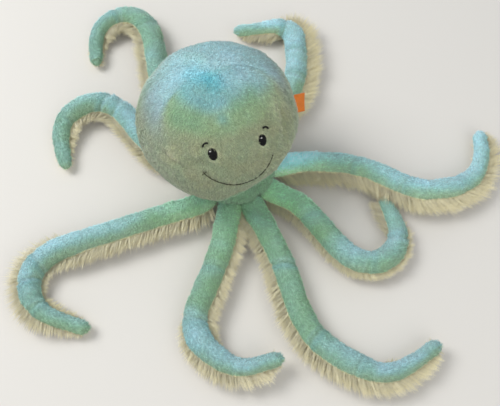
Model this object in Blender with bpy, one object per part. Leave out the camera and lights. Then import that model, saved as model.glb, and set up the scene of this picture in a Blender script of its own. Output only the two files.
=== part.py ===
"""Plush octopus, lying on the floor with its eight arms spread out.

A ball-shaped head of short mint plush leans back a little over a round base panel. Four long and four
short arms are sewn in round the base. Each arm is a stuffed tube: short mint plush on top, long cream
fur underneath and fibre filling inside. The face is embroidered: two eyes, two brows and a smile.

Frame: +Z up, the face looks along -Y, the origin is the middle of the base panel's underside.
Azimuth 0 is the face's direction and 90 is +X. All lengths are in metres.
"""

import math

import bmesh
import bpy
from mathutils import Matrix, Vector

# Clearance between sewn edges and between a piece and what it lies on
SEAM_GAP = 0.0003

# Head
HEAD_RADIUS = 0.0815
HEAD_HALF_HEIGHT = 0.0795
HEAD_FLOOR_CLEARANCE = 0.0145
HEAD_SHIFT_SIDE = -0.0096
HEAD_SHIFT_BACK = 0.0215
HEAD_LEAN_DEG = 4.0
PANEL_THICKNESS = 0.0025
CROWN_LATITUDE_DEG = 88.5
NECK_LATITUDE_DEG = -48.0
FRONT_SEAM_DEG = 53.0
BACK_SEAM_DEG = 94.0
SEAM_SLANT_SHARE = 0.55
SLANT_ENDS_BELOW_DEG = -20.0

# Base panel, and the collar of the head that closes on it
BASE_RADIUS = 0.0400
BASE_THICKNESS = 0.0025
COLLAR_HEIGHT = 0.0110

# Arms
LONG_ARM = 0.305
SHORT_ARM = 0.248
ARM_ROOT_HALF_WIDTH = 0.0108
ARM_ROOT_HALF_HEIGHT = 0.0055
ARM_HALF_WIDTH = 0.0130
ARM_HALF_HEIGHT = 0.0118
ROOT_SWELL_LENGTH = 0.045
TIP_ROUNDING = 0.009
PLUSH_THICKNESS = 0.0020
FUR_UNDERLAY = 0.0030
FUR_ROOT_UNDERLAY = 0.0008
FUR_FRINGE = 0.0085
FUR_FRINGE_START = 0.022
FUR_FRINGE_GROWTH = 0.058
FUR_FRINGE_END = 0.045
FUR_EDGE_THICKNESS = 0.0020
FRONT_TIP_LIFT = 0.012
MIDDLE_TIP_LIFT = 0.006
SIDE_TIP_LIFT = 0.003

# Embroidered eyes, each with a glint
EYE_HALF_WIDTH = 0.0043
EYE_HALF_HEIGHT = 0.0064
EYE_THICKNESS = 0.0009
GLINT_HALF_WIDTH = 0.0013
GLINT_HALF_HEIGHT = 0.0010
GLINT_THICKNESS = 0.0004
GLINT_SIDE = -0.0006
GLINT_RISE = 0.0036

# Embroidered brows and smile
BROW_HALF_LENGTH = 0.0031
BROW_ARCH = 0.0012
BROW_THREAD_RADIUS = 0.0008
SMILE_THREAD_RADIUS = 0.0006
SMILE_LOW_AZIMUTH_DEG = 3.0
SMILE_LOW_LATITUDE_DEG = 0.3
SMILE_CURVE_POWER = 2.0

# Azimuth, latitude and turn of each eye and brow, on the toy's own left and right
EYE_PLACES_DEG = {"left": (20.1, 30.1, -12.0), "right": (-22.3, 32.3, 12.0)}
BROW_PLACES_DEG = {"left": (27.4, 36.6, -42.0), "right": (-28.4, 39.3, 42.0)}

# How far the smile reaches to each side of its lowest point, and how far it climbs there
SMILE_ENDS_DEG = {"left": (20.0, 14.1), "right": (-32.0, 15.6)}

# Woven tag, sewn into the left back seam
TAG_WIDTH = 0.0205
TAG_REACH = 0.0135
TAG_RIBBON_THICKNESS = 0.00045
TAG_FOLD_GAP = 0.0002
TAG_SEWN_EDGE = 0.0010
TAG_SEAT = 0.0001
TAG_LATITUDE_DEG = -10.0

# Hand stitches that close the right back seam
STITCH_HALF_WIDTH = 0.0028
STITCH_PITCH = 0.0030
STITCH_RADIUS = 0.0004
STITCH_LATITUDE_DEG = -14.0
STITCH_COUNT = 13

# Mesh density
HEAD_AZIMUTH_STEP_DEG = 15.0
HEAD_ROW_COUNT = 9
FILLING_AZIMUTH_STEP_DEG = 30
ARM_INNER_STATIONS = 13
PLUSH_ARC_POINTS = 7
LINING_POINTS = 4
PAD_POINTS = 16
SMILE_POINTS = 25
BROW_POINTS = 7
BASE_SIDES = 32
SHARP_EDGE_DEG = 50.0

# The arm's section and its ends, as shares of the sizes above
TAPER_START_SHARE = 0.62
TAPER_END_SHARE = 0.97
TAPER_DEPTH_SHARE = 0.40
LIFT_START_SHARE = 0.72
THIN_WALL_SHARE = 0.35
FRINGE_TOP_SHARE = 0.35
FRINGE_LOW_SHARE = 0.95
FLOOR_WIDTH_SHARE = 0.85
BEND_ROOM_SHARE = 0.86
BEND_PROBE_SHARE = 0.02
END_SIZE_SHARE = 0.25
ROOT_END_SHARES = (1.0, 0.6, 0.0)
ROOT_MIDDLE_SHARE = 0.5
TIP_END_SHARES = (1.0, 0.4, 0.0)
CORE_END_STATIONS = 2
ARM_SEAM_DEG = 8.0
LINE_STEPS = 120

# The embroidered pads' domed section, as shares
PAD_RING_SHARES = (1.0, 0.7, 0.35)
PAD_EDGE_SHARE = 0.45

# Each arm: azimuth of its root on the ring, length, the share of that length which shows, tip lift and
# bends. Headings run like azimuths. A bend is (start share, end share, turn in degrees).
ARM_FORM_SHARES = {
    "arm_1": (-154, LONG_ARM, 1.00, 0.0, [(0.02, 0.40, -37), (0.50, 0.96, 178)]),
    "arm_2": (-122, SHORT_ARM, 1.00, 0.0, [(0.04, 0.26, -40), (0.40, 0.64, 60), (0.55, 0.92, 97)]),
    "arm_3": (-66, LONG_ARM, 1.00, 0.0, [(0.00, 0.12, -26), (0.50, 0.92, 144)]),
    "arm_4": (-29, SHORT_ARM, 1.00, FRONT_TIP_LIFT, [(0.08, 0.32, -13), (0.44, 0.72, 72), (0.70, 0.92, 55)]),
    "arm_5": (3, LONG_ARM, 1.00, MIDDLE_TIP_LIFT, [(0.16, 0.34, -8), (0.36, 0.72, 50), (0.70, 0.90, 58)]),
    "arm_6": (38, SHORT_ARM, 0.92, 0.0, [(0.02, 0.28, -22), (0.38, 0.67, 46), (0.52, 0.94, 116)]),
    "arm_7": (77, LONG_ARM, 0.95, SIDE_TIP_LIFT,
              [(0.00, 0.13, -12), (0.19, 0.45, -26), (0.44, 0.70, 44), (0.65, 0.96, 76)]),
    "arm_8": (134, SHORT_ARM, 0.94, 0.0,
              [(0.00, 0.13, -22), (0.15, 0.45, 40), (0.45, 0.64, 13), (0.62, 0.81, 88)]),
}

# Colours, linear
MINT = (0.20, 0.43, 0.36)
CREAM = (0.69, 0.64, 0.43)
FIBRE = (0.85, 0.85, 0.82)
BLACK = (0.010, 0.010, 0.012)
WHITE = (0.80, 0.80, 0.80)
CHARCOAL = (0.05, 0.06, 0.05)
AMBER = (0.60, 0.18, 0.02)


def remove_old_objects():
    for old in list(bpy.data.objects):
        bpy.data.objects.remove(old)


def cloth_material(name, colour, roughness):
    made = bpy.data.materials.new(name)
    made.use_nodes = True
    shader = made.node_tree.nodes["Principled BSDF"]
    shader.inputs["Base Color"].default_value = (*colour, 1.0)
    shader.inputs["Roughness"].default_value = roughness
    shader.inputs["Metallic"].default_value = 0.0
    return made


def add_object(name, data, material, parent=None):
    made = bpy.data.objects.new(name, data)
    bpy.context.scene.collection.objects.link(made)
    data.materials.append(material)
    made.parent = parent
    return made


def add_hinge(name, position):
    """An empty on a joint's axis."""
    hinge = bpy.data.objects.new(name, None)
    bpy.context.scene.collection.objects.link(hinge)
    hinge.location = position
    return hinge


def mesh_from_rings(name, rings, origin=(0, 0, 0)):
    """A closed body through rings of equal length, with its points taken from origin."""
    shape = bmesh.new()
    start = Vector(origin)
    loops = [[shape.verts.new(point - start) for point in ring] for ring in rings]
    size = len(loops[0])
    for low, high in zip(loops, loops[1:]):
        for i in range(size):
            after = (i + 1) % size
            shape.faces.new((low[i], low[after], high[after], high[i]))
    shape.faces.new(loops[0])
    shape.faces.new(loops[-1])
    bmesh.ops.recalc_face_normals(shape, faces=shape.faces)
    bmesh.ops.triangulate(shape, faces=shape.faces)
    data = bpy.data.meshes.new(name)
    shape.to_mesh(data)
    shape.free()
    data.shade_smooth()
    data.set_sharp_from_angle(angle=math.radians(SHARP_EDGE_DEG))
    return data


def thread_line(name, points, radius, material):
    """A sewn line of thread through the points, as a round tube with filled ends."""
    data = bpy.data.curves.new(name, "CURVE")
    data.dimensions = "3D"
    data.bevel_depth = radius
    data.bevel_resolution = 1
    data.use_fill_caps = True
    line = data.splines.new("POLY")
    line.points.add(len(points) - 1)
    for place, point in zip(line.points, points):
        place.co = (*point, 1.0)
    return add_object(name, data, material)


def smoothstep(value, low, high):
    share = min(1.0, max(0.0, (value - low) / (high - low)))
    return share * share * (3 - 2 * share)


def compass(azimuth_deg):
    """Unit vector along the floor: azimuth 0 is -Y and 90 is +X."""
    angle = math.radians(azimuth_deg)
    return Vector((math.sin(angle), -math.cos(angle), 0))


# Head

HEAD_CENTRE = Vector((HEAD_SHIFT_SIDE, HEAD_SHIFT_BACK, HEAD_HALF_HEIGHT + HEAD_FLOOR_CLEARANCE))
HEAD_TURN = Matrix.Rotation(-math.radians(HEAD_LEAN_DEG), 3, "X")
HEAD_UP = HEAD_TURN @ Vector((0, 0, 1))
BASE_SEAT = BASE_THICKNESS + SEAM_GAP


def head_point(azimuth_deg, latitude_deg, outwards=0.0):
    """A point on the head, moved outwards from its surface."""
    latitude = math.radians(latitude_deg)
    flat = compass(azimuth_deg) * ((HEAD_RADIUS + outwards) * math.cos(latitude))
    rise = Vector((0, 0, (HEAD_HALF_HEIGHT + outwards) * math.sin(latitude)))
    return HEAD_CENTRE + HEAD_TURN @ (flat + rise)


def head_frame(azimuth_deg, latitude_deg, turn_deg=0.0):
    """Side, up and outward directions on the head, with side and up turned about outward."""
    outward = (head_point(azimuth_deg, latitude_deg) - HEAD_CENTRE).normalized()
    up = (HEAD_UP - outward * HEAD_UP.dot(outward)).normalized()
    turn = Matrix.Rotation(math.radians(turn_deg), 3, outward)
    return turn @ up.cross(outward), turn @ up, outward


def seam_azimuth(equator_deg, latitude_deg):
    """Azimuth of a slanted seam, which crosses the equator at equator_deg and leans back as it climbs."""
    slant = SEAM_SLANT_SHARE * max(latitude_deg, SLANT_ENDS_BELOW_DEG)
    return equator_deg + (slant if equator_deg > 0 else -slant)


def head_rows(inset):
    """From the crown down to the base: a latitude for the seams, and a function of azimuth for the points."""
    span = CROWN_LATITUDE_DEG - NECK_LATITUDE_DEG
    latitudes = [CROWN_LATITUDE_DEG - span * k / (HEAD_ROW_COUNT - 1) for k in range(HEAD_ROW_COUNT)]
    rows = [(lat, lambda az, lat=lat: head_point(az, lat, -inset)) for lat in latitudes]
    for height in (BASE_SEAT + COLLAR_HEIGHT, BASE_SEAT):
        rise = Vector((0, 0, height))
        rows.append((NECK_LATITUDE_DEG, lambda az, rise=rise: compass(az) * (BASE_RADIUS - inset) + rise))
    return rows


def half_gap_deg(row):
    """The azimuth angle of half a seam gap on this row."""
    return math.degrees(SEAM_GAP / (row(0) - row(180)).length)


def head_panel(name, start_seam_deg, end_seam_deg, material):
    """One sewn panel of the head, as a curved plate between two slanted seams."""
    spans = []
    for latitude, row in head_rows(0.0):
        first = seam_azimuth(start_seam_deg, latitude) + half_gap_deg(row)
        last = seam_azimuth(end_seam_deg, latitude) - half_gap_deg(row)
        spans.append((first, (last - first) % 360))
    steps = math.ceil(max(reach for _, reach in spans) / HEAD_AZIMUTH_STEP_DEG)
    rings = []
    for (first, reach), (_, outer), (_, inner) in zip(spans, head_rows(0.0), head_rows(PANEL_THICKNESS)):
        azimuths = [first + reach * k / steps for k in range(steps + 1)]
        rings.append([outer(az) for az in azimuths] + [inner(az) for az in reversed(azimuths)])
    return add_object(name, mesh_from_rings(name, rings), material)


def head_filling(material):
    """The fibre filling, which stays clear of the panels' flat facets too."""
    facet_depth = HEAD_RADIUS * (1 - math.cos(math.radians(HEAD_AZIMUTH_STEP_DEG / 2)))
    inset = PANEL_THICKNESS + SEAM_GAP + facet_depth
    azimuths = range(0, 360, FILLING_AZIMUTH_STEP_DEG)
    rings = [[row(az) for az in azimuths] for _, row in head_rows(inset)]
    return add_object("head_filling", mesh_from_rings("head_filling", rings), material)


def base_panel(material):
    """The flat round panel that closes the body underneath."""
    rings = []
    for height in (0.0, BASE_THICKNESS):
        rise = Vector((0, 0, height))
        rings.append([compass(360 * k / BASE_SIDES) * BASE_RADIUS + rise for k in range(BASE_SIDES)])
    return add_object("base_panel", mesh_from_rings("base_panel", rings), material)


# Face

def stitched_pad(name, direction, half_size, lift, thickness, material, shift=(0, 0)):
    """A domed oval of thread that follows the head's curve; direction is azimuth, latitude and turn."""
    side, up, outward = head_frame(*direction)
    middle = head_point(*direction[:2])

    def ring(share, height):
        points = []
        for k in range(PAD_POINTS):
            angle = 2 * math.pi * k / PAD_POINTS
            across = shift[0] + half_size[0] * share * math.cos(angle)
            climb = shift[1] + half_size[1] * share * math.sin(angle)
            drop = (across ** 2 + climb ** 2) / (2 * HEAD_RADIUS)
            points.append(middle + side * across + up * climb + outward * (height - drop))
        return points

    rings = [ring(share, lift) for share in reversed(PAD_RING_SHARES)]
    for share in PAD_RING_SHARES:
        rings.append(ring(share, lift + thickness * math.sqrt(1 - (1 - PAD_EDGE_SHARE ** 2) * share ** 2)))
    return add_object(name, mesh_from_rings(name, rings), material)


def eye(side_name, thread, glint_thread):
    """A satin-stitched oval and the small light glint on it."""
    direction = EYE_PLACES_DEG[side_name]
    size = (EYE_HALF_WIDTH, EYE_HALF_HEIGHT)
    stitched_pad("eye_" + side_name, direction, size, SEAM_GAP, EYE_THICKNESS, thread)
    size = (GLINT_HALF_WIDTH, GLINT_HALF_HEIGHT)
    lift = SEAM_GAP + EYE_THICKNESS + SEAM_GAP
    shift = (GLINT_SIDE, GLINT_RISE)
    stitched_pad("eye_glint_" + side_name, direction, size, lift, GLINT_THICKNESS, glint_thread, shift)


def brow(side_name, material):
    """A short arched brow above the eye."""
    azimuth, latitude, turn = BROW_PLACES_DEG[side_name]
    side, up, outward = head_frame(azimuth, latitude, turn)
    middle = head_point(azimuth, latitude, SEAM_GAP + BROW_THREAD_RADIUS)
    points = []
    for k in range(BROW_POINTS):
        across = -1 + 2 * k / (BROW_POINTS - 1)
        along = BROW_HALF_LENGTH * across
        drop = along ** 2 / (2 * HEAD_RADIUS)
        points.append(middle + side * along + up * (BROW_ARCH * (1 - across ** 2)) - outward * drop)
    return thread_line("brow_" + side_name, points, BROW_THREAD_RADIUS, material)


def smile(material):
    """One curved line of stitches from cheek to cheek."""
    points = []
    for k in range(SMILE_POINTS):
        across = -1 + 2 * k / (SMILE_POINTS - 1)
        reach, climb = SMILE_ENDS_DEG["right" if across < 0 else "left"]
        azimuth = SMILE_LOW_AZIMUTH_DEG + reach * abs(across)
        latitude = SMILE_LOW_LATITUDE_DEG + climb * abs(across) ** SMILE_CURVE_POWER
        points.append(head_point(azimuth, latitude, SEAM_GAP + SMILE_THREAD_RADIUS))
    return thread_line("smile_stitches", points, SMILE_THREAD_RADIUS, material)


def closing_stitches(material):
    """One hand-sewn thread that zigzags over the right back seam, where the filling went in."""
    points = []
    for k in range(STITCH_COUNT):
        climb = (k - (STITCH_COUNT - 1) / 2) * STITCH_PITCH
        latitude = STITCH_LATITUDE_DEG + math.degrees(climb / HEAD_HALF_HEIGHT)
        across = math.degrees(STITCH_HALF_WIDTH / HEAD_RADIUS) * (-1) ** k
        azimuth = seam_azimuth(-BACK_SEAM_DEG, latitude) + across
        points.append(head_point(azimuth, latitude, SEAM_GAP + STITCH_RADIUS))
    return thread_line("closing_stitches", points, STITCH_RADIUS, material)


def side_tag(material):
    """A short ribbon folded over and sewn into the left back seam. It bends just outside its sewn edge."""
    half = TAG_RIBBON_THICKNESS + TAG_FOLD_GAP / 2
    inner = TAG_FOLD_GAP / 2
    fold = TAG_REACH - TAG_RIBBON_THICKNESS
    half_width_deg = math.degrees(TAG_WIDTH / 2 / HEAD_RADIUS)
    latitudes = (TAG_LATITUDE_DEG - half_width_deg, TAG_LATITUDE_DEG + half_width_deg)
    low, high = [head_point(seam_azimuth(BACK_SEAM_DEG, latitude), latitude) for latitude in latitudes]
    along = (high - low).normalized()
    seam_deg = seam_azimuth(BACK_SEAM_DEG, TAG_LATITUDE_DEG)
    outward = head_frame(seam_deg, TAG_LATITUDE_DEG)[2]
    across = along.cross(outward)
    edge = head_point(seam_deg, TAG_LATITUDE_DEG, TAG_SEAT)
    hinge = add_hinge("tag_hinge", edge + outward * TAG_SEWN_EDGE)
    outline = [(0, half), (fold, half), (TAG_REACH, inner), (TAG_REACH, -inner), (fold, -half), (0, -half)]
    outline += [(0, -inner), (fold, -inner), (fold, inner), (0, inner)]
    rings = []
    for shift in (-TAG_WIDTH / 2, TAG_WIDTH / 2):
        rings.append([edge + outward * out + across * side + along * shift for out, side in outline])
    return add_object("side_tag", mesh_from_rings("side_tag", rings, hinge.location), material, hinge)


# Arms

ARM_RING_RADIUS = BASE_RADIUS + SEAM_GAP + ARM_ROOT_HALF_HEIGHT


class ArmForm:
    """The line of one arm on the floor, and the size of the stuffed tube along it."""

    def __init__(self, root_deg, length, free_share, tip_lift, bends):
        self.root_deg = root_deg
        self.length = length * free_share
        self.tip_lift = tip_lift
        self.bends = bends
        self.root = compass(root_deg) * ARM_RING_RADIUS
        self.line = [self.root.copy()]
        step = self.length / LINE_STEPS
        for k in range(LINE_STEPS):
            self.line.append(self.line[-1] + compass(self.heading((k + 0.5) / LINE_STEPS)) * step)

    def heading(self, share):
        turned = sum(turn * smoothstep(share, start, end) for start, end, turn in self.bends)
        return self.root_deg + turned

    def place(self, along):
        """The floor point under the arm's line, at a distance from its root."""
        if along < 0:
            return self.root + compass(self.root_deg) * along
        position = min(along / self.length, 1.0) * LINE_STEPS
        k = min(int(position), LINE_STEPS - 1)
        return self.line[k].lerp(self.line[k + 1], position - k)

    def bend_radius(self, share):
        """Radius of the line's bend: positive towards its left, negative towards its right."""
        ahead = min(share + BEND_PROBE_SHARE, 1.0)
        behind = max(share - BEND_PROBE_SHARE, 0.0)
        turn = math.radians(self.heading(ahead) - self.heading(behind))
        return (ahead - behind) * self.length / turn if turn else math.inf

    def end_rounding(self, along):
        """1 along the arm, falling to a small end at its root and its tip."""
        into_root = -along / ARM_ROOT_HALF_HEIGHT
        into_tip = 1 - (self.length - along) / TIP_ROUNDING
        into_end = min(1.0, max(0.0, into_root, into_tip))
        return math.sqrt(1 - (1 - END_SIZE_SHARE ** 2) * into_end ** 2)

    def section(self, along):
        """Half width and half height of the stuffed tube, and its centre's height above the floor."""
        swell = smoothstep(along, 0, ROOT_SWELL_LENGTH)
        taper = 1 - TAPER_DEPTH_SHARE * smoothstep(along / self.length, TAPER_START_SHARE, TAPER_END_SHARE)
        half_width = (ARM_ROOT_HALF_WIDTH + (ARM_HALF_WIDTH - ARM_ROOT_HALF_WIDTH) * swell) * taper
        half_height = (ARM_ROOT_HALF_HEIGHT + (ARM_HALF_HEIGHT - ARM_ROOT_HALF_HEIGHT) * swell) * taper
        underlay = FUR_ROOT_UNDERLAY + (FUR_UNDERLAY - FUR_ROOT_UNDERLAY) * swell
        rounding = self.end_rounding(along)
        return half_width * rounding, half_height * rounding, half_height + underlay

    def wall(self, along):
        """Thickness of the cloth, thinner where the tube is slender."""
        return min(PLUSH_THICKNESS, THIN_WALL_SHARE * self.section(along)[1])

    def fur_seam_deg(self, along):
        """Angle below the tube's side at which the fur's edge stays a seam gap away from the plush."""
        return ARM_SEAM_DEG + math.degrees(SEAM_GAP / (self.section(along)[1] - self.wall(along)))

    def fringe(self, along):
        """How far the fur stands out on the left and the right of the arm, less inside a tight bend."""
        grown = smoothstep(along, FUR_FRINGE_START, FUR_FRINGE_START + FUR_FRINGE_GROWTH)
        full = FUR_FRINGE * grown * smoothstep(self.length - along, 0, FUR_FRINGE_END)
        radius = self.bend_radius(max(0.0, along / self.length))
        room = max(0.0, BEND_ROOM_SHARE * abs(radius) - self.section(along)[0])
        inside = min(full, room)
        return (inside, full) if radius > 0 else (full, inside)

    def stations(self):
        """Distances along the arm, closer together at its two ends."""
        root_side = [-ARM_ROOT_HALF_HEIGHT * share for share in ROOT_END_SHARES]
        root_side.append(ROOT_SWELL_LENGTH * ROOT_MIDDLE_SHARE)
        tip_side = [self.length - TIP_ROUNDING * share for share in TIP_END_SHARES]
        span = self.length - 2 * TIP_ROUNDING - ROOT_SWELL_LENGTH
        inner = [ROOT_SWELL_LENGTH + span * k / (ARM_INNER_STATIONS - 1) for k in range(ARM_INNER_STATIONS)]
        return root_side + inner + tip_side

    def ring(self, along, outline):
        """Outline points (left, up) about the tube's centre, put in place in the world."""
        left = compass(self.heading(max(0.0, along / self.length)) + 90)
        lift = self.tip_lift * smoothstep(along / self.length, LIFT_START_SHARE, 1.0)
        centre = self.place(along) + Vector((0, 0, self.section(along)[2] + lift))
        return [centre + left * out + Vector((0, 0, up)) for out, up in outline]


def arc(half_width, half_height, start_deg, end_deg, count):
    angles = [math.radians(start_deg + (end_deg - start_deg) * k / (count - 1)) for k in range(count)]
    return [(half_width * math.cos(angle), half_height * math.sin(angle)) for angle in angles]


def lining(form, along, inset):
    """The inside of the upper and the lower cloth, each from seam to seam, at this inset."""
    half_width, half_height, _ = form.section(along)
    seam_deg = form.fur_seam_deg(along)
    size = (half_width - inset, half_height - inset)
    above = arc(*size, 180 + ARM_SEAM_DEG, -ARM_SEAM_DEG, LINING_POINTS)
    below = arc(*size, -seam_deg, -180 + seam_deg, LINING_POINTS)
    return above, below


def plush_outline(form, along):
    """The mint plush over the top of the arm."""
    half_width, half_height, _ = form.section(along)
    outer = arc(half_width, half_height, -ARM_SEAM_DEG, 180 + ARM_SEAM_DEG, PLUSH_ARC_POINTS)
    return outer + lining(form, along, form.wall(along))[0]


def fur_outline(form, along):
    """The cream fur below: its backing follows the tube, its pile spreads and lies flat on the floor."""
    half_width, half_height, centre = form.section(along)
    rounding = form.end_rounding(along)
    underlay = centre - half_height / rounding
    floor = -half_height - underlay * rounding
    edge = floor + FUR_EDGE_THICKNESS * rounding
    shoulder = -FRINGE_TOP_SHARE * half_height
    flat = half_width * FLOOR_WIDTH_SHARE
    left, right = form.fringe(along)
    seam_deg = form.fur_seam_deg(along)
    seam_right, seam_left = arc(half_width, half_height, -180 + seam_deg, -seam_deg, 2)
    outer = [
        seam_right,
        (-half_width - right, shoulder),
        (-half_width - right * FRINGE_LOW_SHARE, edge),
        (-flat, floor),
        (flat, floor),
        (half_width + left * FRINGE_LOW_SHARE, edge),
        (half_width + left, shoulder),
        seam_left,
    ]
    return outer + lining(form, along, form.wall(along))[1]


def filling_outline(form, along):
    above, below = lining(form, along, form.wall(along) + SEAM_GAP)
    return above + below


def swept_piece(name, form, distances, outline_of, material, hinge):
    rings = [form.ring(along, outline_of(form, along)) for along in distances]
    return add_object(name, mesh_from_rings(name, rings, hinge.location), material, hinge)


def arm(name, form, plush, fur, fibre):
    """Plush, fur and filling of one arm, which hang on a hinge at its sewn root."""
    hinge = add_hinge(name + "_hinge", form.root + Vector((0, 0, form.section(0)[2])))
    distances = form.stations()
    swept_piece(name + "_plush", form, distances, plush_outline, plush, hinge)
    swept_piece(name + "_fur", form, distances, fur_outline, fur, hinge)
    inner_distances = distances[CORE_END_STATIONS:-CORE_END_STATIONS]
    swept_piece(name + "_filling", form, inner_distances, filling_outline, fibre, hinge)


def build():
    remove_old_objects()
    mint = cloth_material("mint_plush", MINT, 0.9)
    cream = cloth_material("cream_fur", CREAM, 0.95)
    fibre = cloth_material("fibre_filling", FIBRE, 1.0)
    black = cloth_material("black_thread", BLACK, 0.45)
    white = cloth_material("white_thread", WHITE, 0.6)
    charcoal = cloth_material("charcoal_thread", CHARCOAL, 0.7)
    amber = cloth_material("amber_ribbon", AMBER, 0.7)

    head_panel("head_front_panel", -FRONT_SEAM_DEG, FRONT_SEAM_DEG, mint)
    head_panel("head_left_gusset", FRONT_SEAM_DEG, BACK_SEAM_DEG, mint)
    head_panel("head_right_gusset", -BACK_SEAM_DEG, -FRONT_SEAM_DEG, mint)
    head_panel("head_back_panel", BACK_SEAM_DEG, -BACK_SEAM_DEG, mint)
    head_filling(fibre)
    base_panel(mint)

    for side_name in ("left", "right"):
        eye(side_name, black, white)
        brow(side_name, black)
    smile(charcoal)
    closing_stitches(charcoal)
    side_tag(amber)

    for name, form_shares in ARM_FORM_SHARES.items():
        arm(name, ArmForm(*form_shares), mint, cream, fibre)


build()
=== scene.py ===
"""Looks of the plush octopus: dyed short plush, long cream fur, embroidered face, ribbon tag.

Frame: +Z up, the face looks along -Y, the origin is the middle of the base's underside. Azimuth 0 is the
face's direction and 90 is +X. All lengths are in metres.
"""

import math

import bpy
import numpy as np
from mathutils import Matrix, Vector, noise
from mathutils.bvhtree import BVHTree
from mathutils.kdtree import KDTree


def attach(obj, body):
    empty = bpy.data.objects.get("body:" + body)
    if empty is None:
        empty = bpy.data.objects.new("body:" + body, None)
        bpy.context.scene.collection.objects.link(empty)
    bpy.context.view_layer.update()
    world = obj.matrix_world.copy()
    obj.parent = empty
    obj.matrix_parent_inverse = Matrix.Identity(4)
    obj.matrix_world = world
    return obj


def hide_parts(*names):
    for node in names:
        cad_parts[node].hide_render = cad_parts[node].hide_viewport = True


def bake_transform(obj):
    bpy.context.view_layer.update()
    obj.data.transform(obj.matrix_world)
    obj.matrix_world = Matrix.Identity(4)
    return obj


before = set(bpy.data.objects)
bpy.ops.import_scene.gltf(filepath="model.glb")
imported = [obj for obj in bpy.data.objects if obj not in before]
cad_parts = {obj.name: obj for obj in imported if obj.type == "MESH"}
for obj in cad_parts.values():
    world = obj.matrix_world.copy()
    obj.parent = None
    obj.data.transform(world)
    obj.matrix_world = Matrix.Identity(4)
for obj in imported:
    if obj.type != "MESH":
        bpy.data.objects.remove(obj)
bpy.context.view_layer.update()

# View
CAMERA_PLACE = (-0.1337, -0.3853, 0.8012)
CAMERA_AZIMUTH_DEG = -21.4
CAMERA_ELEVATION_DEG = 65.0
CAMERA_LENS_MM = 57.6

# Head, as in the solids
HEAD_RADIUS = 0.0815
HEAD_HALF_HEIGHT = 0.0795
HEAD_CENTRE = Vector((-0.0096, 0.0215, 0.0940))
HEAD_LEAN_DEG = 4.0
HEAD_TURN = Matrix.Rotation(-math.radians(HEAD_LEAN_DEG), 3, "X")
HEAD_UP = HEAD_TURN @ Vector((0, 0, 1))
NECK_LATITUDE_DEG = -48.0
FRONT_SEAM_DEG = 53.0
BACK_SEAM_DEG = 94.0
SEAM_SLANT_SHARE = 0.55
SLANT_ENDS_BELOW_DEG = -20.0
BASE_RADIUS = 0.0400
COLLAR_TOP = 0.0138
FLOOR_CLEARANCE = 0.0003

# Arms, as in the solids, except that their roots are fuller (the solids have half sizes of 10.8 by 5.5 mm
# there), their tips round off over 12 mm instead of 9, and arm 6 reaches on to arm 7's fringe
LONG_ARM = 0.305
SHORT_ARM = 0.248
ARM_RING_RADIUS = 0.0458
ARM_ROOT_HALF_WIDTH = 0.0132
ROOT_TUCK = 0.0050
ARM_ROOT_HALF_HEIGHT = 0.0085
ARM_HALF_WIDTH = 0.0130
ARM_HALF_HEIGHT = 0.0118
ROOT_SWELL_LENGTH = 0.045
FUR_UNDERLAY = 0.0030
FUR_ROOT_UNDERLAY = 0.0008
TIP_ROUNDING = 0.012
SEAM_BELOW_SIDE_DEG = -8.0
SEAM_ROLL_DEG = 24.0

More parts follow.
